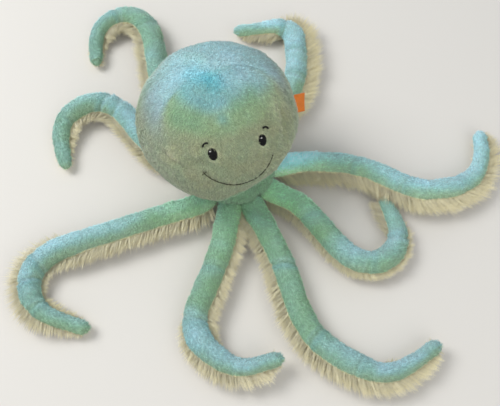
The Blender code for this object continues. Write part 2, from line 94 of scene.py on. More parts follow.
# Each arm: azimuth of its root, length, tip lift; bends as (start share, end share, turn in degrees);
# fringe as (share along, left, right); creases as (share along, depth share, tilt); aqua as (share along,
# how far the colour has turned from green to aqua, partly dye and partly painted light).
ARMS = {
    "arm_1": (-154, LONG_ARM, 0.0, [(0.02, 0.40, -37), (0.50, 0.96, 178)],
              [(0.0, 0.8, 0), (0.6, 0.9, 0), (0.8, 1.0, 0), (0.87, 0.5, 0), (0.93, 0, 0)],
              [(0.60, 0.6, 0.3), (0.74, 0.8, -0.2)],
              [(0.0, 0.45), (0.45, 0.35), (0.57, 0.1), (0.8, 0.4), (1.0, 0.3)]),
    "arm_2": (-122, SHORT_ARM, 0.0, [(0.04, 0.26, -40), (0.40, 0.64, 60), (0.55, 0.92, 97)],
              [(0.0, 0.8, 0), (0.5, 0.75, 0), (0.7, 0.5, 0), (0.8, 0.65, 0), (0.87, 0.4, 0), (0.93, 0, 0)],
              [(0.54, 1.0, 0.3), (0.47, 0.6, -0.3), (0.74, 0.4, 0.2)],
              [(0.0, 1.0), (0.45, 1.0), (0.57, 0.6), (0.72, 0.2), (1.0, 0.35)]),
    "arm_3": (-66, LONG_ARM, 0.0, [(0.00, 0.12, -26), (0.50, 0.92, 144)],
              [(0.0, 1.2, 0), (0.2, 1.0, 0), (0.46, 1.0, 0), (0.54, 0.8, 0.5), (0.62, 0.6, 0.9),
               (0.78, 0.35, 1.1), (0.86, 0.5, 0.9), (0.94, 0.1, 0.2), (0.98, 0, 0)],
              [(0.63, 1.0, 0.4), (0.70, 1.0, -0.3), (0.80, 0.6, 0.2), (0.46, 0.3, 0.2)],
              [(0.0, 0.0), (0.2, 0.1), (0.32, 0.6), (0.5, 0.9), (0.7, 0.8), (0.8, 0.5), (0.9, 0.4),
               (1.0, 0.2)]),
    "arm_4": (-29, SHORT_ARM, 0.012, [(0.08, 0.32, -13), (0.44, 0.72, 72), (0.70, 0.92, 55)],
              [(0.0, 0.7, 0), (0.2, 0.8, 0), (0.5, 0.8, 0), (0.58, 0.7, 0.5), (0.66, 0.25, 0.9),
               (0.72, 0, 1.0), (0.9, 0, 1.0), (0.96, 0, 0.1)],
              [(0.53, 0.8, 0.2), (0.29, 0.5, -0.1)],
              [(0.0, 0.0), (0.47, 0.12), (0.56, 0.95), (0.8, 1.0), (1.0, 0.5)]),
    "arm_5": (3, LONG_ARM, 0.006, [(0.16, 0.34, -8), (0.36, 0.72, 50), (0.70, 0.90, 58)],
              [(0.0, 0, 0.7), (0.2, 0, 0.9), (0.5, 0, 1.1), (0.76, 0, 1.1), (0.82, 0.35, 1.1), (0.86, 0, 1.0),
               (0.93, 0, 0.7), (0.98, 0, 0)],
              [(0.255, 1.0, 0.3), (0.53, 0.8, -0.2), (0.70, 0.4, 0.2)],
              [(0.0, 0.0), (0.5, 0.15), (0.62, 0.5), (0.85, 0.9), (1.0, 0.7)]),
    "arm_6": (38, SHORT_ARM * 0.955, 0.0, [(0.02, 0.27, -22), (0.366, 0.645, 46), (0.50, 0.905, 116)],
              [(0.0, 0, 0.9), (0.25, 0, 0.5), (0.4, 0, 0.4), (0.78, 0, 0.35), (0.84, 0.6, 0.1),
               (0.92, 0.9, 0), (1.0, 0.6, 0)],
              [(0.58, 0.5, 0.2), (0.77, 0.6, -0.2), (0.22, 0.3, 0.3)],
              [(0.0, 0.0), (0.35, 0.1), (0.5, 0.8), (0.62, 0.3), (0.75, 0.7), (1.0, 0.3)]),
    "arm_7": (77, LONG_ARM * 0.95, 0.003,
              [(0.00, 0.13, -12), (0.19, 0.45, -26), (0.44, 0.70, 44), (0.65, 0.96, 76)],
              [(0.0, 0, 1.3), (0.5, 0, 1.3), (0.88, 0, 1.2), (0.95, 0, 0.7), (1.0, 0, 0.1)],
              [(0.29, 0.5, 0.2), (0.50, 0.5, 0.2), (0.72, 0.6, -0.2)],
              [(0.0, 0.9), (0.2, 0.45), (0.3, 0.4), (0.45, 0.8), (1.0, 1.0)]),
    "arm_8": (134, SHORT_ARM * 0.94, 0.0,
              [(0.00, 0.13, -22), (0.15, 0.45, 40), (0.45, 0.64, 13), (0.62, 0.81, 88)],
              [(0.0, 0, 1.3), (0.6, 0, 1.4), (0.70, 0, 1.1), (0.76, 0.3, 0.3), (0.80, 0.9, 0.0),
               (0.90, 0.8, 0.0), (0.96, 0, 0)],
              [(0.40, 0.8, 0.1), (0.55, 0.7, 0.2), (0.73, 1.0, -0.4)],
              [(0.0, 0.2), (0.35, 0.4), (0.42, 0.9), (0.8, 1.0), (1.0, 0.5)]),
}

# Fur, pile and creases; FILLING_ROOM keeps a cover's points off its filling
FRINGE_LENGTH = 0.0172
FRINGE_STRAND_WIDTH = 0.00018
STRAND_SLIMNESS = 90.0
FRINGE_TUFTS_PER_AREA = 480000.0
PILE_LENGTH = 0.0028
PILE_STRAND_WIDTH = 0.00027
PILE_PER_AREA = 1150000.0
CREASE_DEPTH = 0.0024
FILLING_ROOM = 0.0007
CREASE_HALF_WIDTH = 0.0016
CREASE_SWELL = 0.0006
CREASE_SWELL_HALF_WIDTH = 0.0060

# How much lighter an arm is painted, all along and more so at its root: painted light against the head's
# shade
ARM_PAINTED_LIGHT = {"arm_6": (1.08, 0.75), "arm_7": (1.20, 0.75), "arm_8": (1.10, 0.30)}
PLAIN_PAINTED_LIGHT = (1.0, 0.30)

# Face; a brow's line and a glint are a little smaller than in the solids, and a glint sits 0.7 mm further
# aside
EYE_HALF_WIDTH = 0.0043
EYE_HALF_HEIGHT = 0.0064
EYE_PLACES_DEG = {"left": (20.1, 30.1, -12.0), "right": (-22.3, 32.3, 12.0)}
BROW_HALF_LENGTH = 0.0025
BROW_ARCH = 0.0010
BROW_PLACES_DEG = {"left": (27.4, 36.6, -42.0), "right": (-28.4, 39.3, 42.0)}
SMILE_LOW_AZIMUTH_DEG = 3.0
SMILE_LOW_LATITUDE_DEG = 0.3
SMILE_CURVE_POWER = 2.0
SMILE_ENDS_DEG = {"left": (20.0, 14.1), "right": (-32.0, 15.6)}

# Tag and closing stitches; the tag reaches 2.5 mm further than in the solids
TAG_WIDTH = 0.0205
TAG_REACH = 0.0160
TAG_LATITUDE_DEG = -10.0
STITCH_LATITUDE_DEG = -14.0
STITCH_PITCH = 0.0030
STITCH_HALF_WIDTH = 0.0028
STITCH_COUNT = 13

# Cloth, and how much smaller the head's cover starts
CLOTH_FRAMES = 20
CLOTH_ROOM = 0.0006

# Room
FLOOR_REACH = 6.0
SKY_COLOUR = (0.93, 0.96, 1.0, 1.0)
SKY_STRENGTH = 0.58
# Each lamp: place, power in watts, size, colour
LAMPS = {"key": ((-0.95, 0.70, 1.5), 25.0, 1.0, (1.0, 0.99, 0.97)),
         "fill": ((0.25, -1.4, 1.3), 9.0, 1.4, (1.0, 0.95, 0.88))}


def srgb(red, green, blue):
    """A colour as the eye names it, made linear for the shader."""
    return tuple(c / 12.92 if c <= 0.04045 else ((c + 0.055) / 1.055) ** 2.4 for c in (red, green, blue))


GREEN = np.array(srgb(0.53, 0.69, 0.545))
SAGE = np.array(srgb(0.63, 0.72, 0.56))
AQUA = np.array(srgb(0.50, 0.72, 0.74))
ARM_AQUA = np.array(srgb(0.57, 0.75, 0.77))
PALE_AQUA = np.array(srgb(0.68, 0.82, 0.86))
TURQUOISE = np.array(srgb(0.40, 0.74, 0.80))
LILAC = np.array(srgb(0.62, 0.71, 0.73))
OLIVE = np.array(srgb(0.65, 0.675, 0.54))
CREAM = np.array(srgb(0.99, 0.96, 0.82))


def smoothstep(value, low, high):
    share = np.clip((np.asarray(value, float) - low) / (high - low), 0.0, 1.0)
    return share * share * (3 - 2 * share)


def mixed(first, second, share):
    share = np.asarray(share, float)[..., None]
    return first * (1 - share) + second * share


# Node helpers

# The kind of each named socket that isn't a plain number
SOCKET_KINDS = {"Geometry": "Geometry", "Material": "Material", "Seed": "Int", "Stitch Count": "Int",
                "Clump Squeeze": "Vector", "Colour": "Color", "Second Colour": "Color"}


def new_tree(name, kind, inputs, outputs):
    """A node tree with named inputs and outputs; returns it with the sockets of both."""
    tree = bpy.data.node_groups.new(name, kind)
    for side, labels in (("INPUT", inputs), ("OUTPUT", outputs)):
        for label in labels:
            socket = "NodeSocket" + SOCKET_KINDS.get(label, "Float")
            tree.interface.new_socket(label, in_out=side, socket_type=socket)
    return tree, tree.nodes.new("NodeGroupInput").outputs, tree.nodes.new("NodeGroupOutput").inputs


def node(tree, kind, given=None, **properties):
    """A new node; given holds its inputs by name or number, as values or as sockets to link."""
    made = tree.nodes.new(kind)
    for name, value in properties.items():
        setattr(made, name, value)
    for key, value in (given or {}).items():
        if isinstance(value, bpy.types.NodeSocket):
            tree.links.new(value, made.inputs[key])
        else:
            made.inputs[key].default_value = value
    return made


def maths(tree, operation, *values):
    return node(tree, "ShaderNodeMath", dict(enumerate(values)), operation=operation).outputs[0]


def times(tree, first, second):
    return maths(tree, "MULTIPLY", first, second)


def vector_maths(tree, operation, first, second):
    given = {0: first, "Scale" if operation == "SCALE" else 1: second}
    return node(tree, "ShaderNodeVectorMath", given, operation=operation).outputs[0]


def mapped(tree, value, from_low, from_high, to_low, to_high):
    given = {0: value, 1: from_low, 2: from_high, 3: to_low, 4: to_high}
    return node(tree, "ShaderNodeMapRange", given).outputs[0]


def lit(tree, value, colour):
    return node(tree, "ShaderNodeHueSaturation", {"Value": value, "Color": colour}).outputs[0]


def parts_of(tree, vector):
    return node(tree, "ShaderNodeSeparateXYZ", {0: vector}).outputs


def combined(tree, *parts):
    return node(tree, "ShaderNodeCombineXYZ", dict(enumerate(parts))).outputs[0]


def position(tree):
    return node(tree, "GeometryNodeInputPosition").outputs[0]


def random_share(tree, low, high, seed):
    given = {2: low, 3: high, 8: seed}
    return node(tree, "FunctionNodeRandomValue", given, data_type="FLOAT").outputs[1]


def random_vector(tree, reach, seed):
    given = {0: (-reach,) * 3, 1: (reach,) * 3, 8: seed}
    return node(tree, "FunctionNodeRandomValue", given, data_type="FLOAT_VECTOR").outputs[0]


def attribute(tree, name, data_type="FLOAT"):
    made = node(tree, "GeometryNodeInputNamedAttribute", {"Name": name}, data_type=data_type)
    return made.outputs["Attribute"]


def stored(tree, geometry, name, value, domain="POINT"):
    given = {"Geometry": geometry, "Name": name, "Value": value}
    return node(tree, "GeometryNodeStoreNamedAttribute", given, data_type="FLOAT", domain=domain).outputs[0]


def turned(tree, axis, given, **properties):
    return node(tree, "FunctionNodeAlignRotationToVector", given, axis=axis, **properties).outputs[0]


def copies_on(tree, points, shape, **given):
    given = {"Points": points, "Instance": shape, **given}
    return node(tree, "GeometryNodeInstanceOnPoints", given).outputs[0]


def made_real(tree, geometry):
    return node(tree, "GeometryNodeRealizeInstances", {0: geometry}).outputs[0]


def finish_tree(tree, geometry, material, out):
    """Real faces, smooth, in the given material, as the tree's last steps."""
    smooth = node(tree, "GeometryNodeSetShadeSmooth", {0: made_real(tree, geometry)})
    dressed = node(tree, "GeometryNodeSetMaterial", {0: smooth.outputs[0], "Material": material})
    tree.links.new(dressed.outputs[0], out[0])


def in_scene(name, data):
    made = bpy.data.objects.new(name, data)
    bpy.context.scene.collection.objects.link(made)
    return made


def plain_mesh(holder):
    """What an object's modifiers make of it, as a plain mesh; the object itself goes."""
    graph = bpy.context.evaluated_depsgraph_get()
    made = bpy.data.meshes.new_from_object(
        holder.evaluated_get(graph), preserve_all_data_layers=True, depsgraph=graph
    )
    bpy.data.objects.remove(holder)
    return made


def add_piece(name, data, *materials):
    for material in materials:
        data.materials.append(material)
    data.name = name
    return in_scene(name, data)


def grown(name, source, tree, sizes):
    """A plain mesh piece: what the tree makes of the source mesh with these sizes."""
    holder = in_scene(name, source)
    modifier = holder.modifiers.new("tree", "NODES")
    modifier.node_group = tree
    for item in tree.interface.items_tree:
        if item.in_out == "INPUT" and item.name in sizes:
            modifier[item.identifier] = sizes[item.name]
    return add_piece(name, plain_mesh(holder))


# Materials


def dye_group():
    """Uneven dye and fibre flecks over a colour, with a height for the fibres."""
    tree, given, out = new_tree(
        "uneven_dye", "ShaderNodeTree",
        ("Colour", "Second Colour", "Patch Scale", "Patch Share", "Fleck Scale", "Fleck Share"),
        ("Colour", "Height"),
    )
    place = node(tree, "ShaderNodeTexCoord").outputs["Object"]
    patches, flecks = [
        node(tree, "ShaderNodeTexNoise",
             {"Vector": place, "Scale": given[scale], "Detail": detail, "Roughness": roughness}).outputs[0]
        for scale, detail, roughness in (("Patch Scale", 3.0, 0.55), ("Fleck Scale", 2.0, 0.6))
    ]
    share = times(tree, mapped(tree, patches, 0.38, 0.66, 0.0, 1.0), given["Patch Share"])
    colours = {0: share, 6: given["Colour"], 7: given["Second Colour"]}
    patched = node(tree, "ShaderNodeMix", colours, data_type="RGBA").outputs[2]
    swing = mapped(tree, flecks, 0.3, 0.7, -1.0, 1.0)
    value = maths(tree, "MULTIPLY_ADD", swing, given["Fleck Share"], 1.0)
    tree.links.new(lit(tree, value, patched), out["Colour"])
    tree.links.new(flecks, out["Height"])
    return tree


def weave_group():
    """Crossed threads on a surface's own UV map, as a height and a slight light and dark."""
    tree, given, out = new_tree("ribbon_weave", "ShaderNodeTree", ("Thread Scale",), ("Shade", "Height"))
    place = node(tree, "ShaderNodeTexCoord").outputs["UV"]
    threads = [
        node(tree, "ShaderNodeTexWave", {"Vector": place, "Scale": given["Thread Scale"]},
             bands_direction=direction).outputs["Fac"]
        for direction in ("X", "Y")
    ]
    crossed = maths(tree, "MAXIMUM", *threads)
    tree.links.new(mapped(tree, crossed, 0.0, 1.0, 0.72, 1.05), out["Shade"])
    tree.links.new(crossed, out["Height"])
    return tree


UNEVEN_DYE = dye_group()
RIBBON_WEAVE = weave_group()


def new_material(name, roughness, sheen, specular=0.25):
    made = bpy.data.materials.new(name)
    made.use_nodes = True
    inputs = made.node_tree.nodes["Principled BSDF"].inputs
    finish = {"Roughness": roughness, "Sheen Weight": sheen, "Sheen Roughness": 0.5,
              "Sheen Tint": (1.0, 1.0, 1.0, 1.0), "Specular IOR Level": specular}
    for label, value in finish.items():
        inputs[label].default_value = value
    return made, made.node_tree, inputs


def uneven(tree, colour, second, patch_scale, patch_share, fleck_scale, fleck_share):
    given = {"Colour": colour, "Second Colour": (*second, 1.0), "Patch Scale": patch_scale,
             "Patch Share": patch_share, "Fleck Scale": fleck_scale, "Fleck Share": fleck_share}
    return node(tree, "ShaderNodeGroup", given, node_tree=UNEVEN_DYE).outputs


def finish_surface(tree, inputs, colour, height=None, strength=0.0, distance=0.0002):
    """Links the colour and, where there is a height, its bump."""
    tree.links.new(colour, inputs["Base Color"])
    if height:
        given = {"Strength": strength, "Distance": distance, "Height": height}
        tree.links.new(node(tree, "ShaderNodeBump", given).outputs[0], inputs["Normal"])


def pile_material(name, second, patch_share, fleck_share, strands=None, sheen=0.25):
    """Plush or fur in the colours that its points carry; strands are painted darker at their roots, as shade.
    """
    made, tree, inputs = new_material(name, 0.92, sheen)
    dye_and_painted_light = node(tree, "ShaderNodeAttribute", attribute_name="dye_and_painted_light").outputs["Color"]
    dyed = uneven(tree, dye_and_painted_light, second, 42.0, patch_share, 620.0, fleck_share)
    if not strands:
        finish_surface(tree, inputs, dyed["Colour"], dyed["Height"], 0.5, 0.0008)
        return made
    tip, tone = [node(tree, "ShaderNodeAttribute", attribute_name=label).outputs["Fac"]
                 for label in ("tip", "tone")]
    # Painted shade: each strand darker at its root than at its tip
    value = times(tree, mapped(tree, tip, 0.0, 1.0, *strands), tone)
    finish_surface(tree, inputs, lit(tree, value, dyed["Colour"]))
    return made


def thread_material(name, colour, roughness):
    """Embroidery thread with a little unevenness and a soft shine."""
    made, tree, inputs = new_material(name, roughness, 0.03, 0.2)
    dyed = uneven(tree, (*colour, 1.0), [c * 1.3 for c in colour], 260.0, 0.5, 2600.0, 0.15)
    finish_surface(tree, inputs, dyed["Colour"], dyed["Height"], 0.3)
    return made


def ribbon_material(name, colour):
    """Woven satin ribbon, a little darker between its threads."""
    made, tree, inputs = new_material(name, 0.55, 0.3, 0.4)
    dyed = uneven(tree, (*colour, 1.0), [c * 0.8 for c in colour], 160.0, 0.5, 1800.0, 0.08)
    weave = node(tree, "ShaderNodeGroup", {"Thread Scale": 14.0}, node_tree=RIBBON_WEAVE).outputs
    finish_surface(tree, inputs, lit(tree, weave["Shade"], dyed["Colour"]), weave["Height"], 0.6)
    return made


MINT = GREEN * 0.8 + AQUA * 0.2
PLUSH_CLOTH = pile_material("plush_cloth", MINT, 0.35, 0.10)
PLUSH_PILE = pile_material("plush_pile", MINT, 0.20, 0.16, (1.00, 1.76), 0.4)
FUR_CLOTH = pile_material("fur_cloth", CREAM * 0.9, 0.3, 0.08)
FUR_STRANDS = pile_material("fur_strands", CREAM * 0.93, 0.25, 0.04, (0.86, 1.05), 0.7)
BLACK_THREAD = thread_material("black_satin_thread", (0.003, 0.003, 0.0035), 0.5)
WHITE_THREAD = thread_material("white_satin_thread", srgb(0.86, 0.86, 0.86), 0.5)
CHARCOAL_THREAD = thread_material("charcoal_thread", srgb(0.22, 0.22, 0.17), 0.6)
PALE_THREAD = thread_material("pale_closing_thread", srgb(0.55, 0.70, 0.66), 0.6)
FIBRE = thread_material("filling_fibre", srgb(0.93, 0.93, 0.92), 0.9)
AMBER_RIBBON = ribbon_material("amber_ribbon", srgb(0.98, 0.53, 0.14))


# Trees for pile, fur and stitches


def clump_noise(tree, size, squeeze=(1.0, 1.0, 1.0)):
    """A vector and a share that change slowly over the surface, so that neighbouring strands agree."""
    place = vector_maths(tree, "MULTIPLY", position(tree), squeeze)
    given = {"Vector": place, "Scale": maths(tree, "DIVIDE", 1.0, size), "Detail": 1.0}
    made = node(tree, "ShaderNodeTexNoise", given)
    centred = vector_maths(tree, "SUBTRACT", made.outputs["Color"], (0.5, 0.5, 0.5))
    return centred, made.outputs[0]


def sown(tree, given):
    """Points over the source, as densely as its growth says."""
    density = times(tree, given["Density"], attribute(tree, "growth"))
    seeds = {"Mesh": given["Geometry"], "Density": density, "Seed": given["Seed"]}
    return node(tree, "GeometryNodeDistributePointsOnFaces", seeds).outputs


def planted(tree, given, out, spots, strand, turn, scale, share, tones, swing):
    """Strands on the points, in tones that change from clump to clump, with none below the floor."""
    copies = copies_on(tree, spots["Points"], strand, Rotation=turn, Scale=scale)
    tone = times(tree, mapped(tree, share, 0.32, 0.68, *tones), random_share(tree, *swing, 6))
    real = made_real(tree, stored(tree, copies, "tone", tone, "INSTANCE"))
    x, y, z = parts_of(tree, position(tree))
    lifted = combined(tree, x, y, maths(tree, "MAXIMUM", z, given["Floor"]))
    above = node(tree, "GeometryNodeSetPosition", {"Geometry": real, "Position": lifted}).outputs[0]
    finish_tree(tree, above, given["Material"], out)


def pile_tree():
    """Short strands that stand on a cloth and lie over along its nap, in small clumps."""
    tree, given, out = new_tree(
        "short_pile", "GeometryNodeTree",
        ("Geometry", "Density", "Length", "Width", "Lean", "Spread", "Clump Size", "Clump Lean",
         "Clump Squeeze", "Floor", "Seed", "Material"),
        ("Geometry",),
    )
    spots = sown(tree, given)
    cone = node(tree, "GeometryNodeMeshCone",
                {"Vertices": 3, "Side Segments": 1, "Radius Top": 0.0, "Radius Bottom": 1.0, "Depth": 1.0})
    strand = stored(tree, cone.outputs["Mesh"], "tip", parts_of(tree, position(tree))[2])
    clump, share = clump_noise(tree, given["Clump Size"], given["Clump Squeeze"])
    lean = vector_maths(tree, "SCALE", attribute(tree, "nap", "FLOAT_VECTOR"), given["Lean"])
    drift = vector_maths(tree, "SCALE", clump, given["Clump Lean"])
    stray = vector_maths(tree, "SCALE", random_vector(tree, 1.0, 3), given["Spread"])
    direction = vector_maths(tree, "ADD", vector_maths(tree, "ADD", spots["Normal"], lean),
                             vector_maths(tree, "ADD", drift, stray))
    width = times(tree, given["Width"], random_share(tree, 0.8, 1.25, 4))
    taller = times(tree, given["Length"], mapped(tree, share, 0.3, 0.7, 0.65, 1.25))
    length = times(tree, taller, random_share(tree, 0.8, 1.15, 5))
    planted(tree, given, out, spots, strand, turned(tree, "Z", {"Vector": direction}),
            combined(tree, width, width, length), share, (0.80, 1.20), (0.88, 1.12))
    return tree


def fur_tree(strands, segments):
    """Tufts of long strands that draw together at their tips, droop, and lie on the floor."""
    tree, given, out = new_tree(
        "long_fur", "GeometryNodeTree",
        ("Geometry", "Density", "Length", "Width", "Spread", "Clump Size", "Clump Lean", "Floor", "Seed",
         "Material"),
        ("Geometry",),
    )
    slim = STRAND_SLIMNESS
    curve = node(tree, "GeometryNodeCurvePrimitiveBezierSegment",
                 {"Resolution": segments, "Start": (0, 0, 0), "Start Handle": (0.5, 0, 0.33 * slim),
                  "End Handle": (4.0, 0, 0.66 * slim), "End": (8.0, 0, 0.97 * slim)})
    profile = node(tree, "GeometryNodeCurvePrimitiveCircle", {"Resolution": 3, "Radius": 1.0})
    along = node(tree, "GeometryNodeSplineParameter").outputs["Factor"]
    strand = node(tree, "GeometryNodeCurveToMesh",
                  {"Curve": stored(tree, curve.outputs[0], "tip", along), "Profile Curve": profile.outputs[0],
                   "Scale": mapped(tree, along, 0.0, 1.0, 1.0, 0.2), "Fill Caps": True})
    row = node(tree, "GeometryNodeMeshLine", {"Count": strands, "Offset": (0, 0, 0)})
    seat = vector_maths(tree, "MULTIPLY", random_vector(tree, 7.0, 11), (1.0, 1.0, 0.0))
    seats = node(tree, "GeometryNodeSetPosition", {"Geometry": row.outputs[0], "Offset": seat})
    height = combined(tree, 1.0, 1.0, random_share(tree, 0.72, 1.1, 12))
    bundle = made_real(tree, copies_on(tree, seats.outputs[0], strand.outputs[0], Scale=height))
    place = position(tree)
    pull = times(tree, parts_of(tree, place)[2], -0.55 / slim)
    inward = vector_maths(tree, "SCALE", vector_maths(tree, "MULTIPLY", place, (0.35, 1.0, 0.0)), pull)
    tuft = node(tree, "GeometryNodeSetPosition", {"Geometry": bundle, "Offset": inward}).outputs[0]

    spots = sown(tree, given)
    clump, share = clump_noise(tree, given["Clump Size"])
    drift = vector_maths(tree, "SCALE", clump, given["Clump Lean"])
    stray = vector_maths(tree, "SCALE", random_vector(tree, 1.0, 3), given["Spread"])
    stray = vector_maths(tree, "ADD", stray, drift)
    direction = vector_maths(tree, "ADD", attribute(tree, "nap", "FLOAT_VECTOR"), stray)
    turn = turned(tree, "Z", {"Vector": direction})
    droop = turned(tree, "X", {"Rotation": turn, "Vector": (0.0, 0.0, -1.0)}, pivot_axis="Z")
    width = times(tree, given["Width"], random_share(tree, 0.85, 1.25, 4))
    reach = times(tree, given["Length"], attribute(tree, "reach"))
    longer = times(tree, mapped(tree, share, 0.3, 0.7, 0.80, 1.12), random_share(tree, 0.82, 1.12, 5))
    rise = maths(tree, "DIVIDE", times(tree, reach, longer), slim)
    planted(tree, given, out, spots, tuft, droop, combined(tree, width, width, rise), share,
            (0.88, 1.06), (0.88, 1.06))
    return tree


def satin_tree():
    """Threads laid side by side across an oval, each arched over it."""
    tree, given, out = new_tree(
        "satin_stitches", "GeometryNodeTree",
        ("Geometry", "Half Width", "Half Height", "Pitch", "Thread Radius", "Arch", "Material"),
        ("Geometry",),
    )
    half = given["Half Height"]
    middle = combined(tree, 0.0, 0.0, times(tree, given["Arch"], 2.0))
    curve = node(tree, "GeometryNodeCurveQuadraticBezier",
                 {"Resolution": 8, "Start": (-1, 0, 0), "Middle": middle, "End": (1, 0, 0)})
    profile = node(tree, "GeometryNodeCurvePrimitiveCircle",
                   {"Resolution": 6, "Radius": given["Thread Radius"]})
    thread = node(tree, "GeometryNodeCurveToMesh",
                  {"Curve": curve.outputs[0], "Profile Curve": profile.outputs[0], "Fill Caps": True})
    count = maths(tree, "ADD", maths(tree, "DIVIDE", times(tree, half, 2.0), given["Pitch"]), 1.0)
    ends = {"Count": count, "Start Location": combined(tree, 0.0, times(tree, half, -1.0)),
            "Offset": combined(tree, 0.0, half)}
    row = node(tree, "GeometryNodeMeshLine", ends, mode="END_POINTS")
    share = maths(tree, "DIVIDE", parts_of(tree, position(tree))[1], half)
    chord = maths(tree, "SQRT", maths(tree, "SUBTRACT", 1.05, times(tree, share, share)))
    width = times(tree, times(tree, chord, random_share(tree, 0.96, 1.04, 2)), given["Half Width"])
    copies = copies_on(tree, row.outputs[0], thread.outputs[0], Scale=combined(tree, width, 1.0, chord))
    finish_tree(tree, copies, given["Material"], out)
    return tree


def running_tree():
    """Plump stitches one after another along a sewn line."""
    tree, given, out = new_tree(
        "running_stitches", "GeometryNodeTree",
        ("Geometry", "Stitch Count", "Stitch Length", "Thread Radius", "Material"), ("Geometry",),
    )
    curve = node(tree, "GeometryNodeMeshToCurve", {0: given["Geometry"]})
    spots = node(tree, "GeometryNodeCurveToPoints",
                 {"Curve": curve.outputs[0], "Count": given["Stitch Count"]}, mode="COUNT").outputs
    ball = node(tree, "GeometryNodeMeshUVSphere", {"Segments": 8, "Rings": 6, "Radius": 1.0})
    half = times(tree, given["Stitch Length"], times(tree, random_share(tree, 0.9, 1.1, 2), 0.5))
    scale = combined(tree, half, given["Thread Radius"], given["Thread Radius"])
    turn = turned(tree, "X", {"Vector": spots["Tangent"]})
    copies = copies_on(tree, spots[0], ball.outputs[0], Rotation=turn, Scale=scale)
    finish_tree(tree, copies, given["Material"], out)
    return tree


SHORT_PILE = pile_tree()
LONG_FUR = fur_tree(5, 2)
SATIN_STITCHES = satin_tree()
RUNNING_STITCHES = running_tree()


# Mesh helpers


def mesh_of(name, points, faces, material_numbers=None):
    data = bpy.data.meshes.new(name)
    data.from_pydata([tuple(p) for p in points], [], faces)
    if material_numbers is not None:
        data.polygons.foreach_set("material_index", material_numbers)
    data.shade_smooth()
    data.update()
    return data


def ring_faces(rows, columns, closed=True):
    """Faces over rings of points; point 0 is the first pole and the last point closes the far end."""
    faces = []
    last = 1 + (rows - 1) * columns
    for k in range(columns):
        after = (k + 1) % columns
        faces.append((0, 1 + k, 1 + after))
        for low in range(1, last, columns):
            high = low + columns
            faces.append((low + k, high + k, high + after, low + after))
        if closed:
            faces.append((last + k, last + columns, last + after))
    return faces


def points_of(data):
    found = np.empty(len(data.vertices) * 3)
    data.vertices.foreach_get("co", found)
    return found.reshape(-1, 3)


def normals_of(data):
    found = np.empty(len(data.vertices) * 3, np.float32)
    data.vertex_normals.foreach_get("vector", found)
    return found.reshape(-1, 3).astype(float)


def set_points(data, points):
    data.vertices.foreach_set("co", np.asarray(points, np.float32).ravel())
    data.update()


def paint(data, name, values, kind="FLOAT"):
    """Values per point, as an attribute that pile and materials read."""
    layer = data.attributes.get(name) or data.attributes.new(name, kind, "POINT")
    values = np.asarray(values, np.float32)
    if kind == "FLOAT_COLOR":
        values = np.column_stack([values, np.ones(len(values), np.float32)])
    field = {"FLOAT_COLOR": "color", "FLOAT_VECTOR": "vector", "FLOAT": "value"}[kind]
    layer.data.foreach_set(field, values.ravel())


def finer(data, levels):
    """The mesh after smooth subdivision."""
    holder = in_scene("finer", data)
    modifier = holder.modifiers.new("finer", "SUBSURF")
    modifier.levels = modifier.render_levels = levels
    return plain_mesh(holder)


def stuff(jobs):
    """Cloth with pressure on all covers together; a job is mesh, pins, pressure, cap.

    It moves a cover by less than 0.1 mm. The padded form comes from the cages, shape_head and shape_arm.
    """
    holders = []
    for k, (data, pins, pressure, _) in enumerate(jobs):
        holder = in_scene("stuffing_%d" % k, data)
        group = holder.vertex_groups.new(name="pins")
        for index, weight in enumerate(pins):
            group.add([index], float(weight), "REPLACE")
        cloth = holder.modifiers.new("cloth", "CLOTH")
        settings = cloth.settings
        settings.vertex_group_mass = "pins"
        settings.effector_weights.gravity = 0.0
        settings.use_pressure = True
        settings.uniform_pressure_force = pressure
        settings.quality = 5
        settings.bending_stiffness = 0.2
        cloth.point_cache.frame_start = 1
        cloth.point_cache.frame_end = CLOTH_FRAMES
        holders.append(holder)
    scene = bpy.context.scene
    for step in range(1, CLOTH_FRAMES + 1):
        scene.frame_set(step)
    graph = bpy.context.evaluated_depsgraph_get()
    for holder, (data, _, _, cap) in zip(holders, jobs):
        start = points_of(data)
        filled = bpy.data.meshes.new_from_object(holder.evaluated_get(graph), depsgraph=graph)
        moved = points_of(filled) - start
        length = np.linalg.norm(moved, axis=1, keepdims=True)
        moved *= np.minimum(1.0, cap / np.maximum(length, 1e-9))
        bpy.data.objects.remove(holder)
        set_points(data, start + moved)
    scene.frame_set(1)


# Head cover


def compass(azimuth_deg):
    angle = math.radians(azimuth_deg)
    return Vector((math.sin(angle), -math.cos(angle), 0))


def head_point(azimuth_deg, latitude_deg, outwards=0.0):
    latitude = math.radians(latitude_deg)
    flat = compass(azimuth_deg) * ((HEAD_RADIUS + outwards) * math.cos(latitude))
    rise = Vector((0, 0, (HEAD_HALF_HEIGHT + outwards) * math.sin(latitude)))
    return HEAD_CENTRE + HEAD_TURN @ (flat + rise)


def seam_azimuth(equator_deg, latitude_deg):
    slant = SEAM_SLANT_SHARE * np.maximum(latitude_deg, SLANT_ENDS_BELOW_DEG)
    return equator_deg + (slant if equator_deg > 0 else -slant)


def head_columns(latitude_deg):
    """Azimuths of the cover's columns, with one column on each seam."""
    seams = [seam_azimuth(s, latitude_deg) for s in (-FRONT_SEAM_DEG, FRONT_SEAM_DEG, BACK_SEAM_DEG)]
    seams += [seam_azimuth(-BACK_SEAM_DEG, latitude_deg) + 360, seams[0] + 360]
    found = []
    for first, last, count in zip(seams, seams[1:], (14, 6, 22, 6)):
        found += [first + (last - first) * k / count for k in range(count)]
    return found


HEAD_SEAM_COLUMNS = (0, 14, 20, 42)
HEAD_COLUMN_COUNT = 48
HEAD_ROW_COUNT = 28
HEAD_NECK_FULLNESS = 0.0022
HEAD_NECK_TUCK = 0.0036


